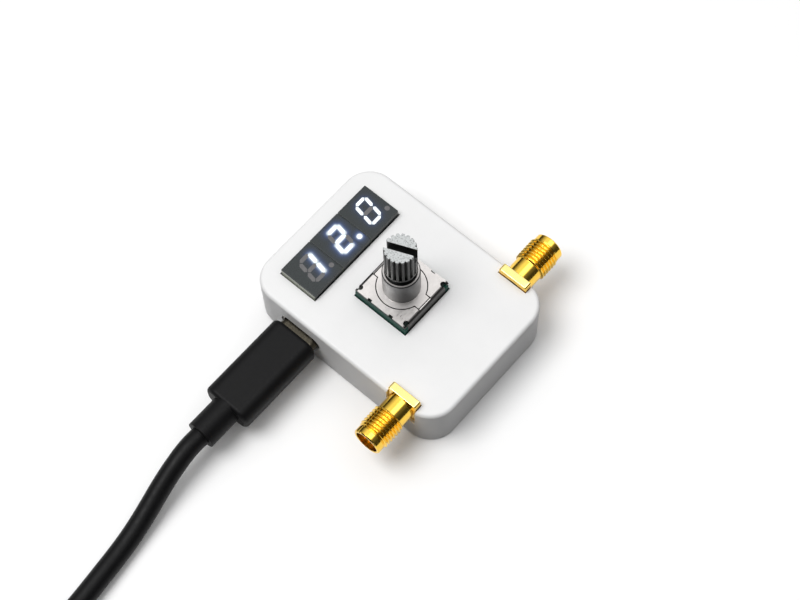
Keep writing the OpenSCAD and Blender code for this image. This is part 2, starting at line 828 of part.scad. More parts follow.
module encoder_switch_dome() {
    dome_r = (pow(dome_d / 2, 2) + pow(dome_h, 2)) / (2 * dome_h);
    color("gainsboro")
        translate([0, encoder_y, dome_floor])
            intersection() {
                cylinder(h = dome_h + cut, d = dome_d);
                translate([0, 0, dome_h - dome_r])
                    difference() {
                        sphere(dome_r);
                        sphere(dome_r - dome_t);
                    }
            }
}

module encoder_terminals() {
    color("gainsboro")
        for (place = terminal_places)
            translate([0, encoder_y + place[1], 0])
                mirror([place[0] > 0 ? 0 : 1, 0, 0])
                    translate([encoder_w / 2, -terminal_w / 2, 0]) {
                        translate([0, 0, terminal_top - terminal_t])
                            cube([terminal_out + terminal_t / 2, terminal_w, terminal_t]);
                        translate([terminal_out - terminal_t / 2, 0, board_bottom - terminal_below])
                            cube([terminal_t, terminal_w,
                                  terminal_top - board_bottom + terminal_below]);
                    }
}

// USB supply

module shell_ring(w, h) {
    difference() {
        stadium(w, h);
        stadium(w - 2 * shell_t, h - 2 * shell_t);
    }
}

module usb_socket_shell() {
    color("silver")
        translate([0, usb_y, usb_z]) {
            translate([socket_mouth, 0, 0]) along_x(socket_l) shell_ring(socket_w, socket_h);
            translate([socket_back - shell_t, 0, 0])
                along_x(shell_t) stadium(socket_w, socket_h);
        }
}

module usb_socket_tongue() {
    inner_h = socket_h - 2 * shell_t - 2 * snug;
    start = socket_back - shell_t - socket_back_t;
    color("black")
        translate([start, usb_y, usb_z]) {
            along_x(socket_back_t)
                stadium(socket_w - 2 * shell_t - 2 * snug, inner_h);
            translate([-tongue_size[0], -tongue_size[1] / 2, -tongue_size[2] / 2])
                cube([tongue_size[0] + cut, tongue_size[1], tongue_size[2]]);
        }
}

module usb_plug_nose() {
    color("silver")
        translate([nose_start, usb_y, usb_z]) along_x(nose_l) shell_ring(nose_w, nose_h);
}

// Moulded grip along X with a round strain relief behind it, starting at the origin
module plug_grip(w, h, l) {
    rotate([0, -90, 0]) {
        soft_block(h, w, l, grip_round, grip_edge, grip_edge);
        translate([0, 0, l - cut]) cylinder(h = relief_l + cut, d = relief_d);
    }
}

module usb_plug_grip() {
    color("black")
        translate([nose_start, usb_y, usb_z]) plug_grip(grip_w, grip_h, grip_l);
}

module usb_lead() { color("black") tube(lead_route, lead_d); }
module usb_lead_tail() { color("black") tube(tail_route, lead_d); }

module usb_lead_coil() {
    color("black")
        translate([coil_place[0], coil_place[1], coil_z])
            rotate_extrude()
                translate([coil_d / 2, coil_section[1] / 2])
                    round_rect(coil_section[0], coil_section[1], coil_round);
}

// Strap around the coil's section, on the side away from the case
module usb_lead_tie() {
    inside = coil_section + 2 * [tie_fit, tie_fit];
    outside = coil_section + 2 * [tie_t, tie_t];
    color("black")
        translate([coil_place[0], coil_place[1], coil_middle])
            rotate([0, 0, 180 - tie_angle / 2])
                rotate_extrude(angle = tie_angle)
                    translate([coil_d / 2, 0])
                        difference() {
                            round_rect(outside[0], outside[1], coil_round + tie_t);
                            round_rect(inside[0], inside[1], coil_round + tie_fit);
                        }
}

module far_plug_grip() {
    color("black")
        translate([far_shell_x, far_y, far_z]) plug_grip(far_grip_w, far_grip_h, far_grip_l);
}

module far_plug_shell() {
    color("silver")
        translate([far_shell_x, far_y, far_z])
            along_x(far_shell_l)
                difference() {
                    square([far_shell_w, far_shell_h], center = true);
                    square([far_shell_w - 2 * shell_t, far_shell_h - 2 * shell_t], center = true);
                }
}

module far_plug_tongue() {
    color("ivory")
        translate([far_shell_x, far_y - far_shell_w / 2 + shell_t + snug,
                   far_z - far_shell_h / 2 + shell_t + snug])
            cube([far_shell_l - far_tongue_sunk, far_shell_w - 2 * shell_t - 2 * snug, far_tongue_h]);
}

case_tray();
case_lid();
circuit_board();
attenuator_chip();
microcontroller();
voltage_regulator();
chip_capacitors();
input_jack_body();
input_jack_insulator();
input_jack_contact();
output_jack_body();
output_jack_insulator();
output_jack_contact();
digit_1_housing();
digit_1_segments();
digit_2_housing();
digit_2_segments();
digit_3_housing();
digit_3_segments();
encoder_base();
encoder_frame();
encoder_bushing();
encoder_rotor();
encoder_shaft();
encoder_switch_dome();
encoder_terminals();
usb_socket_shell();
usb_socket_tongue();
usb_plug_nose();
usb_plug_grip();
usb_lead();
usb_lead_coil();
usb_lead_tail();
usb_lead_tie();
far_plug_grip();
far_plug_shell();
far_plug_tongue();
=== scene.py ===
"""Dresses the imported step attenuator: threaded coaxial jacks, lit digits, rotary
encoder, white case and USB lead, on a plain pale floor."""

import bpy
import numpy as np
from bpy.props import FloatProperty, FloatVectorProperty, PointerProperty
from bpy.types import NodeSocket, Operator, Panel, PropertyGroup
from mathutils import Matrix, Vector


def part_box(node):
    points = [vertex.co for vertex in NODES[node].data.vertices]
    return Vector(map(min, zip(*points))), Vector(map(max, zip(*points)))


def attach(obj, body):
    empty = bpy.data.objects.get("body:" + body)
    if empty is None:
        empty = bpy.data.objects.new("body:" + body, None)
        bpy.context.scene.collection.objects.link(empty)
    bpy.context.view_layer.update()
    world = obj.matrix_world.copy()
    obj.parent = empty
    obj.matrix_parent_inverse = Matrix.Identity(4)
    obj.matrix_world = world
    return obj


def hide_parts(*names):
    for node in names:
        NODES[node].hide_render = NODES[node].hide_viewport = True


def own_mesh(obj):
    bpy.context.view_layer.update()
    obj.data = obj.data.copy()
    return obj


bl_info = {
    "name": "Step attenuator dressing",
    "version": (1, 0, 0),
    "blender": (4, 5, 0),
    "location": "3D View > Sidebar > Attenuator",
    "description": "Gives the step attenuator its threads, lit digits, lead and finishes",
    "category": "Object",
}

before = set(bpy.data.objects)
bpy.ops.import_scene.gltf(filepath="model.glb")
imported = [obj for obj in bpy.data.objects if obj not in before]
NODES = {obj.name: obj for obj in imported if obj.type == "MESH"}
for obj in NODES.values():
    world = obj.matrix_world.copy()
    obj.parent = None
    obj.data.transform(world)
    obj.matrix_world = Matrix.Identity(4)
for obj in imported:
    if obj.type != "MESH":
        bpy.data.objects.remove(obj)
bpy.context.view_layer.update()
MM = 0.001


def box_mm(name):
    """Low and high corners of a CAD node in millimetres."""
    return tuple(np.array(corner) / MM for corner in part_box(name))


# Settings


def length(name, text, default):
    """Length property in metres."""
    return FloatProperty(
        name=name, description=text, default=default, min=0.0, precision=5, subtype="DISTANCE", unit="LENGTH"
    )


def angle(name, text, degrees):
    """Angle property, given in degrees."""
    return FloatProperty(
        name=name, description=text, default=float(np.radians(degrees)), subtype="ANGLE", unit="ROTATION"
    )


def colour(name, text, default):
    """Colour property with three linear channels."""
    return FloatVectorProperty(
        name=name, description=text, default=default, size=3, min=0.0, max=1.0, subtype="COLOR"
    )


def amount(name, text, default, subtype="NONE"):
    """Plain number property."""
    return FloatProperty(name=name, description=text, default=default, subtype=subtype)


class AttenuatorSizes(PropertyGroup):
    """Sizes of the pieces that the scene makes."""

    thread_pitch: length("Thread pitch", "Distance between two turns of the jacks' thread", 0.0254 / 36)
    thread_depth: length("Thread depth", "Depth of the jacks' thread", 0.00043)
    edge_round: length("Edge rounding", "Rounding of the flanges' edges", 0.00014)
    digit_edge: length("Digit edge", "Rounding of the digits' edges", 0.00006)
    lead_diameter: length("Lead diameter", "Diameter of the USB lead", 0.0039)
    lead_length: length("Lead length", "Length of the USB lead between its plugs", 0.94)
    glow_reach: length("Glow reach", "Distance over which a lit segment's glow fades", 0.00042)


class AttenuatorColours(PropertyGroup):
    """Colours of the finishes."""

    case_white: colour("Case", "Moulded case", (0.80, 0.80, 0.80))
    gold: colour("Gold", "Plating of the jacks", (0.98, 0.63, 0.09))
    # The flanges' paler gold is a painted highlight on their upper edge
    gold_highlight: colour("Highlight gold", "Upper edge of the jacks' flanges", (1.0, 0.80, 0.30))
    insulator_white: colour("Insulator", "Insulators of the jacks", (0.74, 0.73, 0.70))
    frame_steel: colour("Frame steel", "Folded frame of the encoder", (0.62, 0.595, 0.58))
    bushing_zinc: colour("Bushing", "Cast bushing of the encoder", (0.125, 0.128, 0.131))
    shaft_metal: colour("Shaft", "Splined shaft of the encoder", (0.044, 0.0455, 0.0455))
    encoder_green: colour("Encoder base", "Moulded base of the encoder", (0.009, 0.068, 0.049))
    rotor_nylon: colour("Rotor", "Moulded rotor of the encoder", (0.68, 0.67, 0.62))
    spring_steel: colour("Spring steel", "Switch dome of the encoder", (0.62, 0.62, 0.62))
    terminal_tin: colour("Terminals", "Tinned terminals of the encoder", (0.68, 0.67, 0.65))
    display_face: colour("Display face", "Dark face of the digits", (0.009, 0.0145, 0.0155))
    display_side: colour("Display side", "Sides of the digits", (0.34, 0.36, 0.30))
    lit: colour("Lit segment", "Light of a lit segment", (0.86, 0.95, 1.0))
    halo: colour("Halo", "Glow around a lit segment", (0.024, 0.08, 0.31))
    unlit: colour("Unlit segment", "Segment without light", (0.105, 0.102, 0.105))
    grip_black: colour("Plug grip", "Moulded grips of the plugs", (0.0042, 0.0042, 0.0046))
    lead_black: colour("Lead", "Jacket of the lead", (0.0048, 0.0048, 0.0052))
    tie_black: colour("Tie", "Strap around the coil", (0.012, 0.012, 0.013))
    plug_steel: colour("Plug steel", "Metal shell of the far plug", (0.38, 0.36, 0.31))
    # A darker copy of the plug steel: painted shade on the nose and the socket's shell, which sit in the case
    # wall's shade
    shaded_nose_steel: colour("Shaded nose steel", "Metal nose of the plug and shell of its socket", (0.105, 0.094, 0.072))
    tongue_black: colour("Socket tongue", "Tongue of the USB socket", (0.012, 0.012, 0.012))
    tongue_white: colour("Plug tongue", "Tongue of the far plug", (0.7, 0.69, 0.66))
    board_green: colour("Board", "Solder mask of the circuit board", (0.012, 0.13, 0.055))
    chip_black: colour("Chips", "Packages on the circuit board", (0.014, 0.014, 0.015))
    capacitor_tan: colour("Capacitors", "Bodies of the capacitors", (0.36, 0.25, 0.15))


class AttenuatorStage(PropertyGroup):
    """Camera, lamps and floor."""

    azimuth: angle("Azimuth", "Direction of the camera round the object", -46.6)
    elevation: angle("Elevation", "Height of the camera above the horizon", 65.0)
    roll: angle("Roll", "Turn of the camera about its own axis", -2.5)
    distance: length("Distance", "Distance of the camera from its aim", 0.339)
    aim: FloatVectorProperty(
        name="Aim", description="Point in the middle of the picture", default=(0.00235, 0.0021, 0.0), size=3,
        subtype="TRANSLATION", unit="LENGTH",
    )
    lens: amount("Lens", "Focal length in millimetres", 81.0, "DISTANCE_CAMERA")
    key_power: amount("Key lamp", "Power of the soft lamp", 5.2, "POWER")
    sky: amount("Sky", "Strength of the light from all sides", 0.90)
    floor_seen: amount("Floor", "Paleness of the floor as seen", 0.96)
    floor_bounce: amount("Bounce", "Share of light that the floor throws back", 0.16)


def sizes():
    return bpy.context.scene.attenuator_sizes


def colours():
    return bpy.context.scene.attenuator_colours


def stage_settings():
    return bpy.context.scene.attenuator_stage


# Surfaces

SHARP_ANGLE = np.radians(38)
# A slab's flat faces start this many edge radii inside its outline, and its corners are rounder than that
FACE_INSET = 3.0
LEAST_CORNER = 3.2


def cells(rows, cols, closed_rows=False):
    """Corner numbers of a grid's cells. Columns close on themselves, and rows do if asked."""
    r = np.arange(rows if closed_rows else rows - 1)[:, None]
    c = np.arange(cols)[None, :]
    up, on = (r + 1) % rows, (c + 1) % cols
    return np.stack([r * cols + c, r * cols + on, up * cols + on, up * cols + c], -1).reshape(-1, 4)


def outward(points, faces):
    """The faces turned so that the signed volume, the sum of p0 . (p1 x p2) / 6 over a fan of triangles,
    is above zero."""
    volume = 0.0
    for part in faces:
        for k in range(1, part.shape[1] - 1):
            a, b, c = points[part[:, 0]], points[part[:, k]], points[part[:, k + 1]]
            volume += float(np.einsum("ij,ij->", a, np.cross(b, c)))
    return points, [part if volume > 0 else part[:, ::-1] for part in faces]


def loft(rings):
    """Closed skin through rings of points: cell (i, k) joins point k of ring i to ring i + 1, and a fan
    closes each end ring to its middle."""
    n, m, _ = rings.shape
    points = np.concatenate([rings.reshape(-1, 3), rings[:1].mean(1), rings[-1:].mean(1)])
    k = np.arange(m)
    on = (k + 1) % m
    first = np.stack([np.full(m, n * m), on, k], -1)
    last = np.stack([np.full(m, n * m + 1), (n - 1) * m + k, (n - 1) * m + on], -1)
    return outward(points, [cells(n, m), np.concatenate([first, last])])


def ring_loft(rings):
    """Closed skin through rings whose last one joins the first, as on a tube with a bore."""
    n, m, _ = rings.shape
    return outward(rings.reshape(-1, 3), [cells(n, m, closed_rows=True)])


def round_outline(half_w, half_h, radius, per_corner=9):
    """Rectangle with round corners: each corner's centre plus the radius turned through a quarter circle."""
    quarter = np.linspace(0, np.pi / 2, per_corner)
    turn = (np.arange(4)[:, None] * np.pi / 2 + quarter).ravel()
    sx, sy = np.repeat([1, -1, -1, 1], per_corner), np.repeat([1, 1, -1, -1], per_corner)
    x = sx * (half_w - radius) + radius * np.cos(turn)
    y = sy * (half_h - radius) + radius * np.sin(turn)
    return np.stack([x, y], -1)


def slab_rings(half_w, half_h, low, high, corner, edge, steps=5):
    """Rings of a slab with rounded edges. Ring i is the outline set in by edge (1 - sin q) at the height
    edge (1 - cos q) from the lower or upper face, for q from 0 to a right angle."""
    q = np.linspace(0, np.pi / 2, steps)
    inset = edge * (1 - np.sin(q))
    rise = edge * (1 - np.cos(q))
    inset = np.concatenate([[FACE_INSET * edge], inset, inset[::-1], [FACE_INSET * edge]])
    level = np.concatenate([[low], low + rise, high - rise[::-1], [high]])
    corner = max(corner, LEAST_CORNER * edge)
    outlines = np.stack([round_outline(half_w - d, half_h - d, corner - d) for d in inset])
    return np.concatenate([outlines, np.broadcast_to(level[:, None, None], outlines.shape[:2] + (1,))], -1)


def piece(name, shells, material, replaces, body="base"):
    """Mesh object of several closed skins, given in millimetres, that rides on a body and stands for
    CAD nodes."""
    mesh = bpy.data.meshes.new(name)
    points, faces, start = [], [], 0
    for skin, parts in shells:
        points.append(skin)
        faces += [row for part in parts for row in (part + start).tolist()]
        start += len(skin)
    mesh.from_pydata((np.concatenate(points) * MM).tolist(), [], faces)
    mesh.validate()
    mesh.shade_smooth()
    mesh.set_sharp_from_angle(angle=SHARP_ANGLE)
    mesh.materials.append(material)
    made = bpy.data.objects.new(name, mesh)
    bpy.context.scene.collection.objects.link(made)
    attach(made, body)
    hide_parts(*replaces)
    return made


def coat(material, *names):
    """Puts a material on CAD nodes."""
    for name in names:
        for held in NODES[name].material_slots:
            held.material = material


# Shader parts

FLOAT, VECTOR = "NodeSocketFloat", "NodeSocketVector"
# Sockets of a mix node: its factor, both colours and the result, and both ends of a mix of numbers
MIX_FACTOR, MIX_LOW, MIX_HIGH, MIX_RESULT = 0, 6, 7, 2
NUMBER_LOW, NUMBER_HIGH = 2, 3
# Middle part of the noise that is spread over the whole range
MOTTLE_SPAN = (0.32, 0.68)
TURNING_SPAN = (0.3, 0.7)
# Scales of slow changes, in cells per metre
TONE_SCALE = 120.0
SMUDGE_SCALE = 420.0
# Tone of the darkest smudge, how far roughness strays from its middle, and gloss's share of the grain
SMUDGE_TONE = 0.9
PLASTIC_STRAY = 0.06
METAL_STRAY = 0.07
GLOSS_SHARE = 0.4


def connect(tree, target, value):
    """Links a socket to an input, or sets the input to any other value."""
    if isinstance(value, NodeSocket):
        tree.links.new(value, target)
    else:
        target.default_value = value


def node(tree, kind, inputs, **settings):
    """Adds a node with settings and inputs."""
    made = tree.nodes.new(kind)
    for key, value in settings.items():
        setattr(made, key, value)
    for key, value in inputs.items():
        connect(tree, made.inputs[key], value)
    return made


def feed(made, **values):
    """Links or sets a node's inputs; underscores in the keys stand for spaces."""
    for key, value in values.items():
        connect(made.id_data, made.inputs[key.replace("_", " ")], value)
    return made


def calc(tree, operation, first, second=0.0, clamp=False):
    """Result of one sum on numbers."""
    made = node(tree, "ShaderNodeMath", {0: first, 1: second}, operation=operation, use_clamp=clamp)
    return made.outputs[0]


def vector_calc(tree, operation, first, second):
    """Result of one sum on vectors, a number for dot products and distances."""
    made = node(tree, "ShaderNodeVectorMath", {0: first, 1: second}, operation=operation)
    return made.outputs["Value" if operation in ("DOT_PRODUCT", "DISTANCE") else "Vector"]


def ramp(tree, value, start, end, low=0.0, high=1.0, kind="LINEAR"):
    """Goes from low to high while the value goes from start to end, and holds beyond."""
    span = {"Value": value, "From Min": start, "From Max": end, "To Min": low, "To Max": high}
    return node(tree, "ShaderNodeMapRange", span, interpolation_type=kind).outputs[0]


def split(tree, place):
    """Outputs X, Y and Z of a vector."""
    return node(tree, "ShaderNodeSeparateXYZ", {0: place}).outputs


def shade(tree, factor, low, high):
    """Colour between two, by a factor. Each is a socket or three channels."""
    low, high = (end if isinstance(end, NodeSocket) else (*end, 1.0) for end in (low, high))
    inputs = {MIX_FACTOR: factor, MIX_LOW: low, MIX_HIGH: high}
    return node(tree, "ShaderNodeMix", inputs, data_type="RGBA").outputs[MIX_RESULT]


def times(rgb, factor):
    return tuple(float(min(1.0, c * factor)) for c in rgb)


def new_group(name, inputs, outputs):
    """Empty shader group with named sockets; returns its tree, its inputs' sockets and its end node."""
    tree = bpy.data.node_groups.new(name, "ShaderNodeTree")
    for label, kind in inputs:
        tree.interface.new_socket(label, in_out="INPUT", socket_type=kind)
    for label in outputs:
        tree.interface.new_socket(label, in_out="OUTPUT", socket_type=FLOAT)
    return tree, tree.nodes.new("NodeGroupInput").outputs, tree.nodes.new("NodeGroupOutput")


def use(tree, name, **inputs):
    """Places a shader group in a material and returns its outputs."""
    made = tree.nodes.new("ShaderNodeGroup")
    made.node_tree = bpy.data.node_groups[name]
    return feed(made, **inputs).outputs


def make_mottle():
    """Uneven surface: fractal noise of stretched coordinates, scaled from low to high."""
    tree, given, end = new_group(
        "mottle",
        [("Position", VECTOR), ("Stretch", VECTOR), ("Scale", FLOAT), ("Low", FLOAT), ("High", FLOAT)],
        ["Value", "Height"],
    )
    drawn = vector_calc(tree, "MULTIPLY", given["Position"], given["Stretch"])
    look = {"Vector": drawn, "Scale": given["Scale"], "Detail": 4.0, "Roughness": 0.6}
    noise = node(tree, "ShaderNodeTexNoise", look).outputs[0]
    feed(end, Value=ramp(tree, noise, *MOTTLE_SPAN, given["Low"], given["High"]), Height=noise)


def make_turning():
    """Tool marks round a turned part: noise of the distance along the axis alone, in units of the feed."""
    tree, given, end = new_group(
        "turning", [("Along", FLOAT), ("Feed", FLOAT), ("Low", FLOAT), ("High", FLOAT)], ["Value", "Height"]
    )
    look = {"W": calc(tree, "DIVIDE", given["Along"], given["Feed"]), "Scale": 1.0, "Detail": 2.0}
    noise = node(tree, "ShaderNodeTexNoise", look, noise_dimensions="1D").outputs[0]
    feed(end, Value=ramp(tree, noise, *TURNING_SPAN, given["Low"], given["High"]), Height=noise)


def make_speckle():
    """Small pits or specks: one where the distance to the nearest scattered point is below a share of
    its cell."""
    tree, given, end = new_group(
        "speckle", [("Position", VECTOR), ("Scale", FLOAT), ("Size", FLOAT)], ["Mask"]
    )
    cell = node(tree, "ShaderNodeTexVoronoi", {"Vector": given["Position"], "Scale": given["Scale"]})
    feed(end, Mask=ramp(tree, cell.outputs["Distance"], given["Size"], 0.0))


def make_bar_light():
    """Light of one segment. h is the nearest place on its middle line, clamped from 0 to 1, and d the
    distance from there less half the width: inside is where d is below zero, and the glow is
    exp(-d / reach)."""
    tree, given, end = new_group(
        "bar_light",
        [("Position", VECTOR), ("From", VECTOR), ("To", VECTOR), ("Half Width", FLOAT), ("Reach", FLOAT)],
        ["Inside", "Glow"],
    )
    flat = vector_calc(tree, "MULTIPLY", given["Position"], (1, 1, 0))
    out = vector_calc(tree, "SUBTRACT", flat, given["From"])
    bar = vector_calc(tree, "SUBTRACT", given["To"], given["From"])
    along = vector_calc(tree, "DOT_PRODUCT", out, bar)
    whole = vector_calc(tree, "DOT_PRODUCT", bar, bar)
    near = vector_calc(tree, "MULTIPLY", bar, calc(tree, "DIVIDE", along, whole, clamp=True))
    edge = calc(tree, "SUBTRACT", vector_calc(tree, "DISTANCE", out, near), given["Half Width"])
    fade = calc(tree, "DIVIDE", calc(tree, "MAXIMUM", edge), given["Reach"])
    glow = calc(tree, "EXPONENT", calc(tree, "MULTIPLY", fade, -1.0))
    feed(end, Inside=calc(tree, "LESS_THAN", edge), Glow=glow)


def mottle(tree, place, scale, low=0.0, high=1.0, stretch=(1, 1, 1)):
    """Outputs Value and Height of an uneven surface."""
    return use(tree, "mottle", Position=place, Stretch=stretch, Scale=scale, Low=low, High=high)


def finish_of(name, **constants):
    """New material with one shader; returns it, its tree, the shader and the object coordinates."""
    material = bpy.data.materials.new(name)
    material.use_nodes = True
    tree = material.node_tree
    tree.nodes.clear()
    out = tree.nodes.new("ShaderNodeOutputMaterial")
    shader = feed(tree.nodes.new("ShaderNodeBsdfPrincipled"), **constants)
    feed(out, Surface=shader.outputs[0])
    return material, tree, shader, tree.nodes.new("ShaderNodeTexCoord").outputs["Object"]


def raise_by(tree, shader, height, distance):
    """Bump of a height in metres on a shader's normal."""
    feed(shader, Normal=node(tree, "ShaderNodeBump", {"Height": height, "Distance": distance}).outputs[0])


def moulded(name, rgb, rough, grain, depth, spread=0.08, **constants):
    """Moulded plastic: fine spark-eroded grain and a slow change of tone and gloss."""
    material, tree, shader, place = finish_of(name, **constants)
    slow = mottle(tree, place, TONE_SCALE)
    tone = shade(tree, slow["Value"], times(rgb, 1 - spread), times(rgb, 1 + spread))
    gloss = mottle(tree, place, grain * GLOSS_SHARE, rough - PLASTIC_STRAY, rough + PLASTIC_STRAY)
    feed(shader, Base_Color=tone, Roughness=gloss["Value"])
    raise_by(tree, shader, mottle(tree, place, grain)["Height"], depth)
    return material


def metal(name, rgb, rough, grain, depth=0.000004, stretch=(1, 1, 1)):
    """Bare sheet metal: smudged, with a grain that may be stretched."""
    material, tree, shader, place = finish_of(name, Metallic=1.0)
    smudge = mottle(tree, place, SMUDGE_SCALE)
    marks = mottle(tree, place, grain, rough - METAL_STRAY, rough + METAL_STRAY, stretch)
    tone = shade(tree, smudge["Value"], times(rgb, SMUDGE_TONE), rgb)
    feed(shader, Base_Color=tone, Roughness=marks["Value"])
    raise_by(tree, shader, marks["Height"], depth)
    return material


# Stage

SENSOR_WIDTH = 36.0
CLIP_START = 0.01
KEY_TOWARDS = (-0.30, 0.26, 0.92)
KEY_AWAY = 0.95
KEY_SIZE = 0.55
# Ramps of the sky: from, to, and the light at both ends
SKY_BY_HEIGHT = (0.16, 0.86, 0.03, 1.12)
SKY_BY_NEARNESS = (-0.2, 0.8, 1.0, 0.30)
NEAR_SIDE = (1.3, 0.8)
CARD = (0.90, 0.985, 0.0, 0.25)
# What metal sees besides: a dark flag on the jacks' near side, a bright strip and the least light
FLAG = (-0.56, -0.40, 0.20, 1.0)
STRIP = (0.945, 0.985, 0.0, 2.2)
STRIP_TOWARDS = (0.307, -0.132, 0.943)
LEAST_SHINE = 0.055
FLOOR_HALF = 2.5
FLOOR_SUNK = 0.00005


def view_axes(azimuth, elevation, roll):
    """Right, up and backward directions of a camera that looks at its aim from azimuth and elevation,
    turned about its own axis by roll."""
    level = np.cos(elevation)
    back = np.array([np.sin(azimuth) * level, -np.cos(azimuth) * level, np.sin(elevation)])
    right = np.cross(-back, [0, 0, 1])
    right /= np.linalg.norm(right)
    up = np.cross(back, right)
    c, s = np.cos(roll), np.sin(roll)
    return c * right + s * up, -s * right + c * up, back


class ATTENUATOR_OT_set_stage(Operator):
    """Makes the camera, the lamps, the sky and the pale floor"""

    bl_idname = "attenuator.set_stage"
    bl_label = "Set the stage"

    def execute(self, context):
        settings = stage_settings()
        scene = context.scene
        scene.view_settings.view_transform = "Standard"

        right, up, back = view_axes(settings.azimuth, settings.elevation, settings.roll)
        lens = bpy.data.cameras.new("camera")
        lens.lens, lens.sensor_width, lens.clip_start = settings.lens, SENSOR_WIDTH, CLIP_START
        camera = bpy.data.objects.new("camera", lens)
        turn = Matrix(np.stack([right, up, back], -1).tolist()).to_4x4()
        turn.translation = Vector(settings.aim) + Vector(back) * settings.distance
        camera.matrix_world = turn
        scene.collection.objects.link(camera)
        scene.camera = camera

        lamp = bpy.data.lights.new("soft_lamp", "AREA")
        lamp.shape, lamp.size, lamp.energy = "DISK", KEY_SIZE, settings.key_power
        key = bpy.data.objects.new("soft_lamp", lamp)
        towards = Vector(KEY_TOWARDS).normalized()
        key.location = towards * KEY_AWAY
        key.rotation_mode = "QUATERNION"
        key.rotation_quaternion = towards.to_track_quat("Z", "Y")
        scene.collection.objects.link(key)

        self.light_sky(scene, back, settings.sky)
        self.lay_floor(scene, settings)
        return {"FINISHED"}

    def light_sky(self, scene, back, strength):
        """Soft sky: darker near the horizon and on the camera's side, with a pale card opposite the
        camera. Metal sees it cut off on the jacks' near side, with a bright strip above the cut."""
        world = bpy.data.worlds.new("sky")
        scene.world = world
        world.use_nodes = True
        tree = world.node_tree
        tree.nodes.clear()
        out = tree.nodes.new("ShaderNodeOutputWorld")
        place = tree.nodes.new("ShaderNodeTexCoord").outputs["Generated"]
        parts = split(tree, place)

        def soft(value, limits):
            return ramp(tree, value, *limits, kind="SMOOTHSTEP")

        def towards(direction):
            return vector_calc(tree, "DOT_PRODUCT", place, direction)

        level = Vector((NEAR_SIDE[0] * back[0], NEAR_SIDE[1] * back[1], 0)).normalized()
        sky = calc(tree, "MULTIPLY", soft(parts["Z"], SKY_BY_HEIGHT), soft(towards(level), SKY_BY_NEARNESS))
        total = calc(tree, "ADD", sky, soft(towards((-back[0], -back[1], back[2])), CARD))
        cut = calc(tree, "MULTIPLY", total, soft(parts["Y"], FLAG))
        shine = calc(tree, "ADD", cut, soft(towards(STRIP_TOWARDS), STRIP))
        shine = calc(tree, "MAXIMUM", shine, LEAST_SHINE)
        glossy = tree.nodes.new("ShaderNodeLightPath").outputs["Is Glossy Ray"]
        ends = {MIX_FACTOR: glossy, NUMBER_LOW: total, NUMBER_HIGH: shine}
        both = node(tree, "ShaderNodeMix", ends, data_type="FLOAT")
        light = node(tree, "ShaderNodeBackground", {"Color": both.outputs[0], "Strength": strength})
        feed(out, Surface=light.outputs[0])

    def lay_floor(self, scene, settings):
        """Floor that looks white to the camera and in reflections, and throws less light back on the
        object."""
        corners = np.array([[-1, -1, 0], [1, -1, 0], [1, 1, 0], [-1, 1, 0]]) * FLOOR_HALF
        corners[:, 2] = -FLOOR_SUNK
        mesh = bpy.data.meshes.new("floor")
        mesh.from_pydata(corners.tolist(), [], [(0, 1, 2, 3)])
        floor = bpy.data.objects.new("floor", mesh)
        scene.collection.objects.link(floor)
        material = bpy.data.materials.new("pale_floor")
        material.use_nodes = True
        tree = material.node_tree
        tree.nodes.clear()
        out = tree.nodes.new("ShaderNodeOutputMaterial")
        path = tree.nodes.new("ShaderNodeLightPath").outputs
        seen = calc(tree, "MAXIMUM", path["Is Camera Ray"], path["Is Glossy Ray"])
        seen = calc(tree, "MAXIMUM", seen, path["Is Transmission Ray"])
        sheet_shade, white = (
            node(tree, "ShaderNodeBsdfDiffuse", {"Color": (tone, tone, tone, 1)}).outputs[0]
            for tone in (settings.floor_bounce, settings.floor_seen)
        )
        feed(out, Surface=node(tree, "ShaderNodeMixShader", {0: seen, 1: sheet_shade, 2: white}).outputs[0])
        mesh.materials.append(material)


# USB lead

# Points of the middle line in millimetres, from the plug to the coil
LEAD_HEAD = (
    (-43, 9.7, 5.87), (-46, 9.7, 5.87), (-50, 9.4, 5.21), (-54, 8.9, 4.21), (-58, 8.2, 3.2),
    (-62, 7.5, 2.39), (-66, 6.9, 2), (-72, 6.2, 2), (-78, 5.6, 2), (-84, 5.2, 2), (-88, 5.1, 2.1),
    (-93, 5.1, 2.3), (-98, 5.1, 2.45),
)
# Places along X and heights in millimetres, from the coil to the far plug
LEAD_TAIL = (
    (-100.0, 6.44), (-97.0, 6.25), (-94.0, 5.8), (-91.0, 5.2), (-87.5, 4.5), (-84.5, 4.05), (-81.5, 3.9),
    (-78.73, 3.9),
)
COIL_CENTRE = (-103.0, -22.15)
COIL_OUTER = 27.25
COIL_GAP = 3.9
COIL_LOW = 2.55
HALF_TURNS = 3.25
COIL_POINTS = 157
# Bluntness of the inmost turn, and the share of a turn over which the lead climbs
COIL_BLUNT = 0.05
CLIMB = 0.9
LEAD_SPECULAR = 0.14
# Grain of the plugs' drawn shells
DRAWN = {"grain": 5200.0, "depth": 0.0000006, "stretch": (0.1, 1, 1)}


def ease(x):
    """Smooth step from 0 to 1: 3 x^2 - 2 x^3."""
    x = np.clip(x, 0, 1)
    return x * x * (3 - 2 * x)


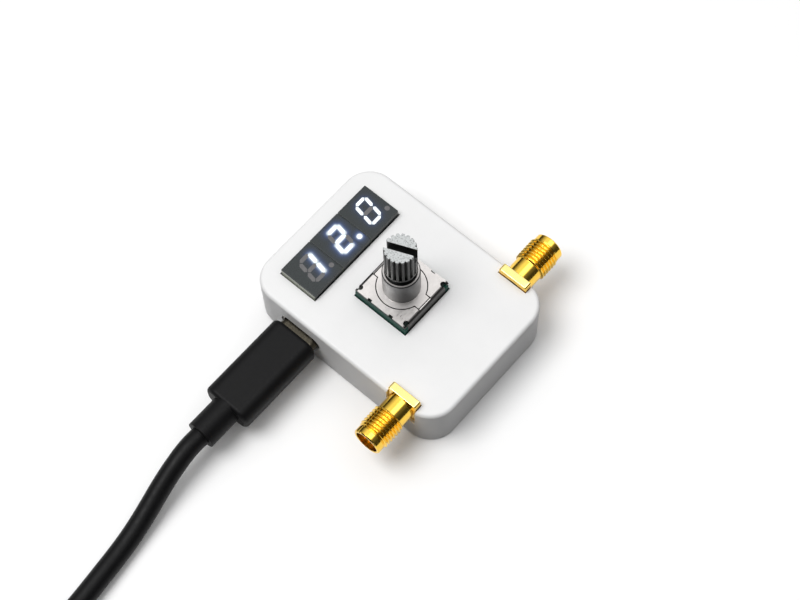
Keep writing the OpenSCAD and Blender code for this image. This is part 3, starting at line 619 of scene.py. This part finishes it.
def lead_line():
    """Middle line of the lead in millimetres. It sinks from the plug to the floor, runs to the coil and
    winds inwards, climbs to the second layer and winds out again: on turn t the radius is the innermost one
    plus the gap times the root of (t - half)^2 + blunt^2, and the climb is a smooth step over a share of a
    turn around half."""
    t = np.linspace(0, 2 * HALF_TURNS, COIL_POINTS)
    past = t - HALF_TURNS
    radius = COIL_OUTER - COIL_GAP * HALF_TURNS + COIL_GAP * np.sqrt(past**2 + COIL_BLUNT**2)
    level = COIL_LOW + COIL_GAP * ease((past + CLIMB / 2) / CLIMB)
    turn = np.radians(90 + 360 * t)
    x, y = COIL_CENTRE
    coil = np.stack([x + radius * np.cos(turn), y + radius * np.sin(turn), level], -1)
    tail = [(along, y - COIL_OUTER, height) for along, height in LEAD_TAIL]
    return np.concatenate([LEAD_HEAD, coil, tail])


class ATTENUATOR_OT_lay_lead(Operator):
    """Lays the USB lead from its plug to the coil and finishes its plugs"""

    bl_idname = "attenuator.lay_lead"
    bl_label = "Lay the lead"

    def execute(self, context):
        line = lead_line() * MM
        curve = bpy.data.curves.new("lead", "CURVE")
        curve.dimensions = "3D"
        curve.bevel_depth = sizes().lead_diameter / 2
        curve.bevel_resolution = 6
        curve.resolution_u = 6
        curve.use_fill_caps = True
        spline = curve.splines.new("BEZIER")
        spline.bezier_points.add(len(line) - 1)
        spline.bezier_points.foreach_set("co", line.ravel())
        for point in spline.bezier_points:
            point.handle_left_type = point.handle_right_type = "AUTO"
        lead = bpy.data.objects.new("lead", curve)
        context.scene.collection.objects.link(lead)
        tones = colours()
        jacket = moulded("lead_jacket", tones.lead_black, rough=0.45, grain=2600.0, depth=0.000012,
                         Specular_IOR_Level=LEAD_SPECULAR)
        curve.materials.append(jacket)
        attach(lead, "base")
        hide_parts("usb_lead", "usb_lead_coil", "usb_lead_tail")
        coat(moulded("plug_moulding", tones.grip_black, rough=0.5, grain=5200.0, depth=0.000008,
                     Specular_IOR_Level=LEAD_SPECULAR), "usb_plug_grip", "far_plug_grip")
        coat(moulded("tie_strap", tones.tie_black, rough=0.6, grain=3000.0, depth=0.00003), "usb_lead_tie")
        coat(metal("plug_shell", tones.plug_steel, rough=0.3, **DRAWN), "far_plug_shell")
        # Painted shade: the nose and the socket's shell take the darker steel
        coat(metal("shaded_nose_shell", tones.shaded_nose_steel, rough=0.24, **DRAWN),
             "usb_plug_nose", "usb_socket_shell")
        coat(moulded("tongue_black", tones.tongue_black, rough=0.5, grain=4000.0, depth=0.00001),
             "usb_socket_tongue")
        coat(moulded("tongue_white", tones.tongue_white, rough=0.45, grain=4000.0, depth=0.00001),
             "far_plug_tongue")
        return {"FINISHED"}


# Case and circuit board

TRACK_SPAN = (0.46, 0.54)
TRACK_SCALE = 260.0
TRACK_HEIGHT = 0.00003
TRACK_TONE = 1.7


class ATTENUATOR_OT_finish_case(Operator):
    """Gives the tray and lid their white moulded finish"""

    bl_idname = "attenuator.finish_case"
    bl_label = "Finish the case"

    def execute(self, context):
        plastic = moulded("case_plastic", colours().case_white, rough=0.5, grain=3600.0, depth=0.000012,
                          spread=0.015)
        coat(plastic, "case_tray", "case_lid")
        return {"FINISHED"}


class ATTENUATOR_OT_finish_board(Operator):
    """Finishes the circuit board and the parts on it"""

    bl_idname = "attenuator.finish_board"
    bl_label = "Finish the board"

    def execute(self, context):
        coat(self.solder_mask(), "circuit_board")
        coat(moulded("chip_mould", colours().chip_black, rough=0.55, grain=6000.0, depth=0.000008),
             "attenuator_chip", "microcontroller", "voltage_regulator")
        coat(moulded("capacitor_body", colours().capacitor_tan, rough=0.5, grain=5000.0, depth=0.00001),
             "chip_capacitors")
        return {"FINISHED"}

    def solder_mask(self):
        """Green lacquer over copper: raised tracks where a slow noise is near its middle."""
        material, tree, shader, place = finish_of("solder_mask", Coat_Weight=0.3, Coat_Roughness=0.15)
        field = mottle(tree, place, TRACK_SCALE, stretch=(1, 1, 0))
        track = ramp(tree, field["Value"], *TRACK_SPAN)
        green = colours().board_green
        gloss = mottle(tree, place, scale=2000.0, low=0.3, high=0.42)
        feed(shader, Base_Color=shade(tree, track, green, times(green, TRACK_TONE)), Roughness=gloss["Value"])
        raise_by(tree, shader, track, TRACK_HEIGHT)
        return material


# Coaxial jacks, drawn in millimetres from the flange's back towards the mouth

JACK_LOW, JACK_HIGH = box_mm("output_jack_body")
JACK_L = 11.1
JACK_SEAT = (JACK_HIGH[0] - JACK_L, *(JACK_LOW + JACK_HIGH)[1:] / 2)
THREAD_R, NECK_R, BORE_R, MOUTH_R, LIP_R = 3.175, 2.795, 2.07, 2.35, 2.9
# Distance and radius along the back of the barrel, the lip and the mouth
BACK_PROFILE = ((0.3, BORE_R), (0.3, 2.8), (1.72, 2.8), (1.9, NECK_R), (3.2, NECK_R), (4.6, NECK_R))
LIP_PROFILE = ((9.3, THREAD_R), (9.48, NECK_R), (9.62, NECK_R), (9.74, LIP_R), (10.9, LIP_R), (JACK_L, 2.7))
MOUTH_PROFILE = (
    (JACK_L, 2.42), (11.04, 2.36), (10.9, MOUTH_R), (9.3, MOUTH_R), (9.1, MOUTH_R), (9.1, BORE_R),
    (4.0, BORE_R),
)
THREAD_START = 4.7
THREAD_END = 9.6
# Place and length of the thread's run-in, and the shares of its wave at the root and on the flank
RUN_IN, RUN_IN_L = 4.75, 0.35
ROOT_SHARE, FLANK_SHARE = 0.12, 0.72
FLANGE_HALF, FLANGE_T, FLANGE_CORNER = 3.175, 1.6, 0.35
LEG_L, LEG_SUNK, LEG_CORNER, LEG_EDGE = 3.8, 0.3, 0.2, 0.06
LEG_HALF_W, LEG_HALF_T = 0.5, 0.4
LEG_SIDES = (-2.675, 2.675)
LEG_LEVELS = (-0.42, -2.82)
# How far below the flange's top, and past its front, the plating takes a painted highlight
HIGHLIGHT_DOWN, HIGHLIGHT_PAST = 0.145, 0.02
GOLD_FEED = 0.00009
GOLD_DEPTH = 0.0000012


def jack_place(points, side):
    """Puts a jack's points on one side of the case: a half turn about the upright axis for the input side."""
    x, y, z = JACK_SEAT
    return np.stack([side * (x + points[..., 0]), y + side * points[..., 1], z + points[..., 2]], -1)


def barrel_rings(pitch, depth, around=112, steps=181):
    """Threaded barrel with its bore. At the distance x along the axis and the angle a the radius is the
    crest less the depth times the thread's wave of (x / pitch - a / turn), faded in after the neck, cut by
    the groove behind the lip, and chamfered at the mouth."""
    a = np.linspace(0, 2 * np.pi, around, endpoint=False)
    x = np.linspace(THREAD_START, JACK_L, steps)[:, None]
    wave = np.abs(2 * np.mod(x / pitch - a / (2 * np.pi), 1.0) - 1)
    crest = THREAD_R - depth * (1 - np.clip((wave - ROOT_SHARE) / FLANK_SHARE, 0, 1))
    lip = np.interp(x, *np.transpose(LIP_PROFILE))
    thread = NECK_R + (crest - NECK_R) * ease((x - RUN_IN) / RUN_IN_L)
    radius = np.minimum(np.where(x < THREAD_END, thread, lip), lip)
    back, mouth = (np.repeat(np.array(part)[..., None], around, -1) for part in (BACK_PROFILE, MOUTH_PROFILE))
    barrel = np.stack([np.broadcast_to(x, radius.shape), radius], 1)
    along, r = np.moveaxis(np.concatenate([back, barrel, mouth]), 1, 0)
    return np.stack([along, r * np.cos(a), r * np.sin(a)], -1)


def flange_rings(edge):
    """Square flange with a bore: rings of the slab's outline, closed by circles on the bore."""
    slab = slab_rings(FLANGE_HALF, FLANGE_HALF, 0.0, FLANGE_T, FLANGE_CORNER, edge)
    turn = np.arctan2(slab[0, :, 1], slab[0, :, 0])
    circles = [
        np.stack([BORE_R * np.cos(turn), BORE_R * np.sin(turn), np.full_like(turn, level)], -1)
        for level in (0.0, FLANGE_T)
    ]
    rings = np.concatenate([circles[:1], slab, circles[1:]])
    return rings[..., [2, 0, 1]]


def leg_rings(y, low):
    """Leg that grips the board: a slab drawn upright and laid along the axis."""
    slab = slab_rings(LEG_HALF_W, LEG_HALF_T, -LEG_L, LEG_SUNK, LEG_CORNER, LEG_EDGE)
    return np.stack([slab[..., 2], y + slab[..., 0], low + LEG_HALF_T + slab[..., 1]], -1)


class ATTENUATOR_OT_cut_jacks(Operator):
    """Makes both coaxial jacks with their threads, flanges and legs"""

    bl_idname = "attenuator.cut_jacks"
    bl_label = "Cut the jacks"

    def execute(self, context):
        gold = self.plating()
        barrel = barrel_rings(sizes().thread_pitch / MM, sizes().thread_depth / MM)
        flange = flange_rings(sizes().edge_round / MM)
        legs = [leg_rings(y, low) for y in LEG_SIDES for low in LEG_LEVELS]
        for label, side in (("input", -1), ("output", 1)):
            shells = [ring_loft(jack_place(rings, side)) for rings in (barrel, flange)]
            shells += [loft(jack_place(rings, side)) for rings in legs]
            piece(f"{label}_jack", shells, gold, [f"{label}_jack_body"])
        coat(moulded("jack_insulator", colours().insulator_white, rough=0.4, grain=4000.0, depth=0.00001),
             "input_jack_insulator", "output_jack_insulator")
        coat(gold, "input_jack_contact", "output_jack_contact")
        return {"FINISHED"}

    def plating(self):
        """Gold plating with turning marks, and paler gold on the flanges' upper edge as a painted highlight.
        """
        material, tree, shader, place = finish_of("gold_plating", Metallic=1.0)
        rgb = colours().gold
        parts = split(tree, place)
        smudge = mottle(tree, place, SMUDGE_SCALE)
        plain = shade(tree, smudge["Value"], times(rgb, SMUDGE_TONE), rgb)
        front = (JACK_SEAT[0] + FLANGE_T + HIGHLIGHT_PAST) * MM
        flange = calc(tree, "LESS_THAN", calc(tree, "ABSOLUTE", parts["X"]), front)
        upper = calc(tree, "GREATER_THAN", parts["Z"], (JACK_HIGH[2] - HIGHLIGHT_DOWN) * MM)
        # Painted highlight: paler gold on the flanges' upper edge
        tone = shade(tree, calc(tree, "MULTIPLY", flange, upper), plain, colours().gold_highlight)
        marks = use(tree, "turning", Along=parts["X"], Feed=GOLD_FEED, Low=0.06, High=0.18)
        feed(shader, Base_Color=tone, Roughness=marks["Value"])
        raise_by(tree, shader, marks["Height"], GOLD_DEPTH)
        return material


# Display

# Ends of the segments on a digit's grid, and the segments that each digit shows
SEGMENTS = {
    "a": ((-1, 1), (1, 1)), "b": ((1, 0), (1, 1)), "c": ((1, -1), (1, 0)), "d": ((-1, -1), (1, -1)),
    "e": ((-1, -1), (-1, 0)), "f": ((-1, 0), (-1, 1)), "g": ((-1, 0), (1, 0)),
}
SHOWN = ("bc", "abged.", "abcdef")
# Strength and tightness of each digit's glow, and half the width of its lit bars and of the point in metres
BLOOM = (1.0, 1.0, 0.25)
BLUR = (3.0, 4.0, 5.0)
BAR_HALF = (0.00042, 0.00042, 0.00034)
POINT_HALF = 0.0005
# In millimetres: half the grid, its shift, the point's place and length, and how far bars are drawn in
GRID_HALF = (1.3, 2.4)
GRID_SHIFT = (0.2, 0.07)
POINT_PLACE = (2.9, -2.2)
POINT_REACH = (0.02, 0)
BAR_INSET = 0.4
SLANT = np.tan(np.radians(10))
TILE_CORNER = 0.12
# The block ends below the segments' faces; the dark film covers its face, and the long sides are painted the
# same dark as shade
FACE_DROP = 0.015
FILM_DOWN = 0.19
LONG_SIDE_SHADE_IN = 0.03
LIT_SHARE = 0.75
SIDE_SHADE = 0.8
GRAIN_LIFT = 1.25


def tile_box(digit):
    """Low and high corners of a digit's housing in millimetres."""
    return box_mm(f"digit_{digit + 1}_housing")


def bar_ends(digit, mark):
    """Ends of a segment's middle line in metres: corners of the digit's grid, slanted and drawn in.
    The point is a bar almost without length."""
    low, high = tile_box(digit)
    middle = ((low + high) / 2)[:2]
    if mark == ".":
        ends = middle + POINT_PLACE + np.outer((-1, 1), POINT_REACH)
    else:
        ends = np.array(SEGMENTS[mark], float) * GRID_HALF
        ends[:, 0] += SLANT * ends[:, 1]
        ends += middle + GRID_SHIFT
        way = (ends[1] - ends[0]) / np.linalg.norm(ends[1] - ends[0])
        ends += np.outer((1, -1), BAR_INSET * way)
    return [(float(x) * MM, float(y) * MM, 0.0) for x, y in ends]


def bar_sum(tree, place, digit, output):
    """The strongest light of a digit's lit segments at a place."""
    total = None
    for mark in SHOWN[digit]:
        start, end = bar_ends(digit, mark)
        half = POINT_HALF if mark == "." else BAR_HALF[digit]
        bar = use(tree, "bar_light", Position=place, From=start, To=end, Half_Width=half,
                  Reach=sizes().glow_reach)
        total = bar[output] if total is None else calc(tree, "MAXIMUM", total, bar[output])
    return total


class ATTENUATOR_OT_light_display(Operator):
    """Makes the three digits and lights their segments"""

    bl_idname = "attenuator.light_display"
    bl_label = "Light the display"

    def execute(self, context):
        edge = sizes().digit_edge / MM
        for digit in range(len(SHOWN)):
            low, high = tile_box(digit)
            half = (high - low) / 2
            rings = slab_rings(half[0], half[1], low[2], high[2] - FACE_DROP, TILE_CORNER, edge)
            rings[..., :2] += ((low + high) / 2)[:2]
            piece(f"digit_{digit + 1}_block", [loft(rings)], self.block(digit),
                  [f"digit_{digit + 1}_housing"])
            coat(self.segments(digit), f"digit_{digit + 1}_segments")
        return {"FINISHED"}

    def block(self, digit):
        """Pale moulded ends under a dark film on the face, long sides painted dark as shade, and the glow of
        the lit segments."""
        material, tree, shader, place = finish_of(f"digit_{digit + 1}_face", Emission_Strength=1.0)
        tones = colours()
        low, high = tile_box(digit)
        parts = split(tree, place)
        face = calc(tree, "GREATER_THAN", parts["Z"], (high[2] - FILM_DOWN) * MM)
        across = calc(tree, "ABSOLUTE", calc(tree, "SUBTRACT", parts["Y"], (low + high)[1] / 2 * MM))
        # Painted shade: the long sides take the film's dark colour
        long_side_shade = calc(tree, "GREATER_THAN", across, ((high - low)[1] / 2 - LONG_SIDE_SHADE_IN) * MM)
        film_and_shade = calc(tree, "MAXIMUM", face, long_side_shade)
        grain = mottle(tree, place, scale=900.0, high=0.3)["Value"]
        side = shade(tree, grain, tones.display_side, times(tones.display_side, SIDE_SHADE))
        dark = shade(tree, grain, tones.display_face, times(tones.display_face, GRAIN_LIFT))
        gloss = mottle(tree, place, scale=1500.0, low=0.24, high=0.34)
        feed(shader, Base_Color=shade(tree, film_and_shade, side, dark), Roughness=gloss["Value"])
        shown = calc(tree, "MULTIPLY", bar_sum(tree, place, digit, "Glow"), face)
        weak = calc(tree, "MULTIPLY", shown, BLOOM[digit])
        close = calc(tree, "POWER", weak, BLUR[digit])
        halo = shade(tree, weak, (0, 0, 0), tones.halo)
        feed(shader, Emission_Color=shade(tree, close, halo, times(tones.lit, LIT_SHARE)))
        raise_by(tree, shader, mottle(tree, place, scale=4500.0)["Height"], distance=0.000001)
        return material

    def segments(self, digit):
        """Milky segments, lit where the digit shows one."""
        material, tree, shader, place = finish_of(f"digit_{digit + 1}_segments", Emission_Strength=1.15)
        unlit = colours().unlit
        milk = shade(tree, mottle(tree, place, scale=1800.0)["Value"], unlit, times(unlit, GRAIN_LIFT))
        gloss = mottle(tree, place, scale=1500.0, low=0.35, high=0.45)
        light = shade(tree, bar_sum(tree, place, digit, "Inside"), (0, 0, 0), colours().lit)
        feed(shader, Base_Color=milk, Roughness=gloss["Value"], Emission_Color=light)
        return material


# Encoder

PLATE_TOP = box_mm("encoder_frame")[1][2]
BUSHING_TOP = box_mm("encoder_bushing")[1][2]
SHAFT_LOW, SHAFT_HIGH = box_mm("encoder_shaft")
AXIS_Y = (SHAFT_LOW + SHAFT_HIGH)[1] / 2
DOME_T = 0.12
# Share of the dome's radius that a fan closes at its top
DOME_EYE = 0.05
# Levels in millimetres from the plate's top, the bushing's top or the shaft's tip
# Above this level the base takes painted shade, where the frame covers it
BASE_SHADE_FROM = -0.61
# Below the plate's top, painted shade fades in between these two levels
SHEET_SIDE = (-0.03, -0.15)
RING_ABOVE = 0.07
# The bushing's painted shade grows from the first of these levels down to the second
FOOT_SHADE = (3.97, 0.37)
# Below the top by this much, the bushing's rim is painted pale as a highlight
RIM_BELOW = 0.02
# The shaft's end this far down is paler: a blasted finish and a painted highlight
PALE_TIP_BELOW = 0.18
# Distances from the encoder's axis in millimetres: start and end of the fold's painted shade, and the arms'
# end and side
FOLD = (5.36, 5.48)
ARM_END = 5.78
ARM_SIDE = 1.45
# Tones as shares of a finish's colour
# The second green tone is the painted shade under the frame
GREEN_TONES, GREEN_SHADE = (0.9, 1.1), 0.08
# The sheet's third tone is painted shade on its folds and sides
SHEET_CLOUD, SHEET_SPECK, SHEET_SHADE = 0.88, 0.3, 0.13
# The zinc's foot and deep tones are painted shade
ZINC_TONES, ZINC_FOOT_SHADE, ZINC_RECESS_SHADE, ZINC_GROUND = (0.8, 1.15), 0.25, 0.15, 0.9
# The tip's tone is partly a blasted finish and partly a painted highlight
SHAFT_BLOTCH, TIP_BLAST_AND_HIGHLIGHT, PIT_TONE = 0.75, 10.2, 4.2
# How much of the specks and of the foot's painted shade shows
SPECK_SHARE = 0.22
FOOT_SHADE_SHARE = 0.75


def dome_rings(width, height, around=48, steps=7):
    """Snap dome with its rim at height 0. Each skin is a ball's cap, z = root(R^2 - r^2) - (R0 - height),
    where R0 = (width^2 / 4 + height^2) / (2 height) and R is R0 less the thickness for the inner skin,
    R0 for the outer."""
    ball = (width**2 / 4 + height**2) / (2 * height)
    a = np.linspace(0, 2 * np.pi, around, endpoint=False)
    drop = ball - height
    skins = []
    for radius in (ball - DOME_T, ball):
        r = np.sqrt(radius**2 - drop**2) * np.linspace(DOME_EYE, 1, steps)[:, None]
        z = np.sqrt(radius**2 - r**2) - drop
        skins.append(np.stack([r * np.cos(a), r * np.sin(a), np.broadcast_to(z, (steps, around))], -1))
    return np.concatenate([skins[0], skins[1][::-1]])


class ATTENUATOR_OT_finish_encoder(Operator):
    """Finishes the rotary encoder's frame, base, bushing and shaft"""

    bl_idname = "attenuator.finish_encoder"
    bl_label = "Finish the encoder"

    def execute(self, context):
        coat(self.frame_sheet(), "encoder_frame")
        coat(self.bushing(), "encoder_bushing")
        coat(self.shaft(), "encoder_shaft")
        coat(self.base(), "encoder_base")
        coat(moulded("rotor_nylon", colours().rotor_nylon, rough=0.5, grain=4000.0, depth=0.00001),
             "encoder_rotor")
        self.press_dome()
        coat(metal("terminal_tin", colours().terminal_tin, rough=0.36, grain=3000.0), "encoder_terminals")
        return {"FINISHED"}

    def press_dome(self):
        """Switch dome under the shaft, made as a thin ball cap."""
        low, high = box_mm("encoder_switch_dome")
        seat = np.array([*(low + high)[:2] / 2, low[2]])
        rings = dome_rings(high[0] - low[0], high[2] - low[2]) + seat
        spring = metal("spring_sheet", colours().spring_steel, rough=0.3, grain=3000.0, stretch=(0.3, 1, 1))
        dome = piece("switch_dome", [loft(rings)], spring, ["encoder_switch_dome"])
        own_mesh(dome)

    def base(self):
        """Green moulding, darkened as painted shade on the face that the frame covers."""
        material, tree, shader, place = finish_of("encoder_moulding", Specular_IOR_Level=0.18)
        rgb = colours().encoder_green
        under = calc(tree, "GREATER_THAN", split(tree, place)["Z"], (PLATE_TOP + BASE_SHADE_FROM) * MM)
        slow = mottle(tree, place, scale=300.0)
        open_face = shade(tree, slow["Value"], *(times(rgb, tone) for tone in GREEN_TONES))
        fine = mottle(tree, place, scale=3800.0, low=0.44, high=0.56)
        # Painted shade on the face under the frame
        tone = shade(tree, under, open_face, times(rgb, GREEN_SHADE))
        feed(shader, Base_Color=tone, Roughness=fine["Value"])
        raise_by(tree, shader, fine["Height"], distance=0.00001)
        return material

    def shade_below_top(self, tree, height):
        """Mask of painted shade: one on the sides of what the frame's plate holds, below its top, and zero on
        its top.
        """
        return ramp(tree, height, *((PLATE_TOP + level) * MM for level in SHEET_SIDE))

    def frame_sheet(self):
        """Satin steel sheet with fine specks, darkened as painted shade on its folds and on its sides below
        the plate's top; where the ring's arms end the fold keeps the sheet's tone."""
        material, tree, shader, place = finish_of("frame_sheet", Metallic=1.0)
        rgb = colours().frame_steel
        parts = split(tree, place)
        cloud = mottle(tree, place, scale=700.0)
        specks = use(tree, "speckle", Position=place, Scale=2600.0, Size=0.3)
        sheet = shade(tree, cloud["Value"], times(rgb, SHEET_CLOUD), rgb)
        dots = calc(tree, "MULTIPLY", specks["Mask"], SPECK_SHARE)
        specked = shade(tree, dots, sheet, times(rgb, SHEET_SPECK))
        across = calc(tree, "ABSOLUTE", calc(tree, "SUBTRACT", parts["Y"], AXIS_Y * MM))
        bend = ramp(tree, across, *(place_mm * MM for place_mm in FOLD))
        beside = calc(tree, "GREATER_THAN", calc(tree, "ABSOLUTE", parts["X"]), ARM_SIDE * MM)
        beyond = calc(tree, "GREATER_THAN", across, ARM_END * MM)
        fold = calc(tree, "MULTIPLY", bend, calc(tree, "MAXIMUM", beside, beyond))
        # Painted shade on the folds and on the sides below the plate's top
        sheet_shade = calc(tree, "MAXIMUM", fold, self.shade_below_top(tree, parts["Z"]))
        brushed = mottle(tree, place, scale=3200.0, low=0.27, high=0.41, stretch=(0.35, 1, 1))
        tone = shade(tree, sheet_shade, specked, times(rgb, SHEET_SHADE))
        feed(shader, Base_Color=tone, Roughness=brushed["Value"])
        raise_by(tree, shader, brushed["Height"], distance=0.000003)
        return material

    def bushing(self):
        """Die-cast bushing, turned above its ring, darkened towards its foot and below the plate's top as
        painted shade; the ring is pale from grinding, and the top rim is pale as a painted highlight."""
        material, tree, shader, place = finish_of("bushing_casting", Metallic=1.0)
        height = split(tree, place)["Z"]
        foot = calc(tree, "LESS_THAN", height, (PLATE_TOP + RING_ABOVE) * MM)
        rim = calc(tree, "GREATER_THAN", height, (BUSHING_TOP - RIM_BELOW) * MM)
        blotch = mottle(tree, place, scale=900.0, stretch=(1, 1, 0.4))["Value"]
        dark, pale = colours().bushing_zinc, colours().frame_steel
        # Painted shade towards the foot
        foot_shade = ramp(tree, height, *((PLATE_TOP + level) * MM for level in FOOT_SHADE), high=FOOT_SHADE_SHARE)
        clean = shade(tree, blotch, *(times(dark, tone) for tone in ZINC_TONES))
        body = shade(tree, foot_shade, clean, times(dark, ZINC_FOOT_SHADE))
        ground_and_highlight = shade(tree, blotch, times(pale, ZINC_GROUND), pale)
        # Pale ring from grinding; pale top rim as a painted highlight
        both = shade(tree, calc(tree, "MAXIMUM", foot, rim), body, ground_and_highlight)
        # Painted shade below the plate's top
        tone = shade(tree, self.shade_below_top(tree, height), both, times(dark, ZINC_RECESS_SHADE))
        marks = use(tree, "turning", Along=height, Feed=0.00016, Low=0.30, High=0.44)
        feed(shader, Base_Color=tone, Roughness=marks["Value"])
        raise_by(tree, shader, mottle(tree, place, scale=4200.0)["Height"], distance=0.000004)
        return material

    def shaft(self):
        """Die-cast shaft: blotched sides and a paler end with pits, partly a blasted finish and partly a
        painted highlight.
        """
        material, tree, shader, place = finish_of("shaft_casting", Metallic=1.0)
        rgb = colours().shaft_metal
        pits = use(tree, "speckle", Position=place, Scale=3000.0, Size=0.5)
        end = calc(tree, "GREATER_THAN", split(tree, place)["Z"], (SHAFT_HIGH[2] - PALE_TIP_BELOW) * MM)
        body = shade(tree, mottle(tree, place, scale=1400.0)["Value"], times(rgb, SHAFT_BLOTCH), rgb)
        # Paler end: blasted finish and painted highlight
        tip = shade(tree, pits["Mask"], times(rgb, TIP_BLAST_AND_HIGHLIGHT), times(rgb, PIT_TONE))
        gloss = mottle(tree, place, scale=3000.0, low=0.26, high=0.42, stretch=(1, 1, 0.12))
        feed(shader, Base_Color=shade(tree, end, body, tip), Roughness=gloss["Value"])
        raise_by(tree, shader, gloss["Height"], distance=0.00001)
        return material


STEPS = (
    ATTENUATOR_OT_set_stage, ATTENUATOR_OT_lay_lead, ATTENUATOR_OT_finish_case, ATTENUATOR_OT_finish_board,
    ATTENUATOR_OT_cut_jacks, ATTENUATOR_OT_light_display, ATTENUATOR_OT_finish_encoder,
)


class ATTENUATOR_PT_dressing(Panel):
    """Lists the steps that dress the attenuator"""

    bl_idname = "ATTENUATOR_PT_dressing"
    bl_label = "Attenuator"
    bl_space_type = "VIEW_3D"
    bl_region_type = "UI"
    bl_category = "Attenuator"

    def draw(self, context):
        for step in STEPS:
            self.layout.operator(step.bl_idname)
        for group in (sizes(), colours(), stage_settings()):
            for name in group.bl_rna.properties.keys():
                if name not in ("rna_type", "name"):
                    self.layout.prop(group, name)


CLASSES = (AttenuatorSizes, AttenuatorColours, AttenuatorStage, *STEPS, ATTENUATOR_PT_dressing)


def register():
    for cls in CLASSES:
        bpy.utils.register_class(cls)
    bpy.types.Scene.attenuator_sizes = PointerProperty(type=AttenuatorSizes)
    bpy.types.Scene.attenuator_colours = PointerProperty(type=AttenuatorColours)
    bpy.types.Scene.attenuator_stage = PointerProperty(type=AttenuatorStage)


def unregister():
    del bpy.types.Scene.attenuator_stage
    del bpy.types.Scene.attenuator_colours
    del bpy.types.Scene.attenuator_sizes
    for cls in reversed(CLASSES):
        bpy.utils.unregister_class(cls)


def main():
    """Registers the add-on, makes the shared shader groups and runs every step."""
    register()
    for make in (make_mottle, make_turning, make_speckle, make_bar_light):
        make()
    for step in STEPS:
        family, name = step.bl_idname.split(".")
        getattr(getattr(bpy.ops, family), name)()


if __name__ == "__main__":
    main()
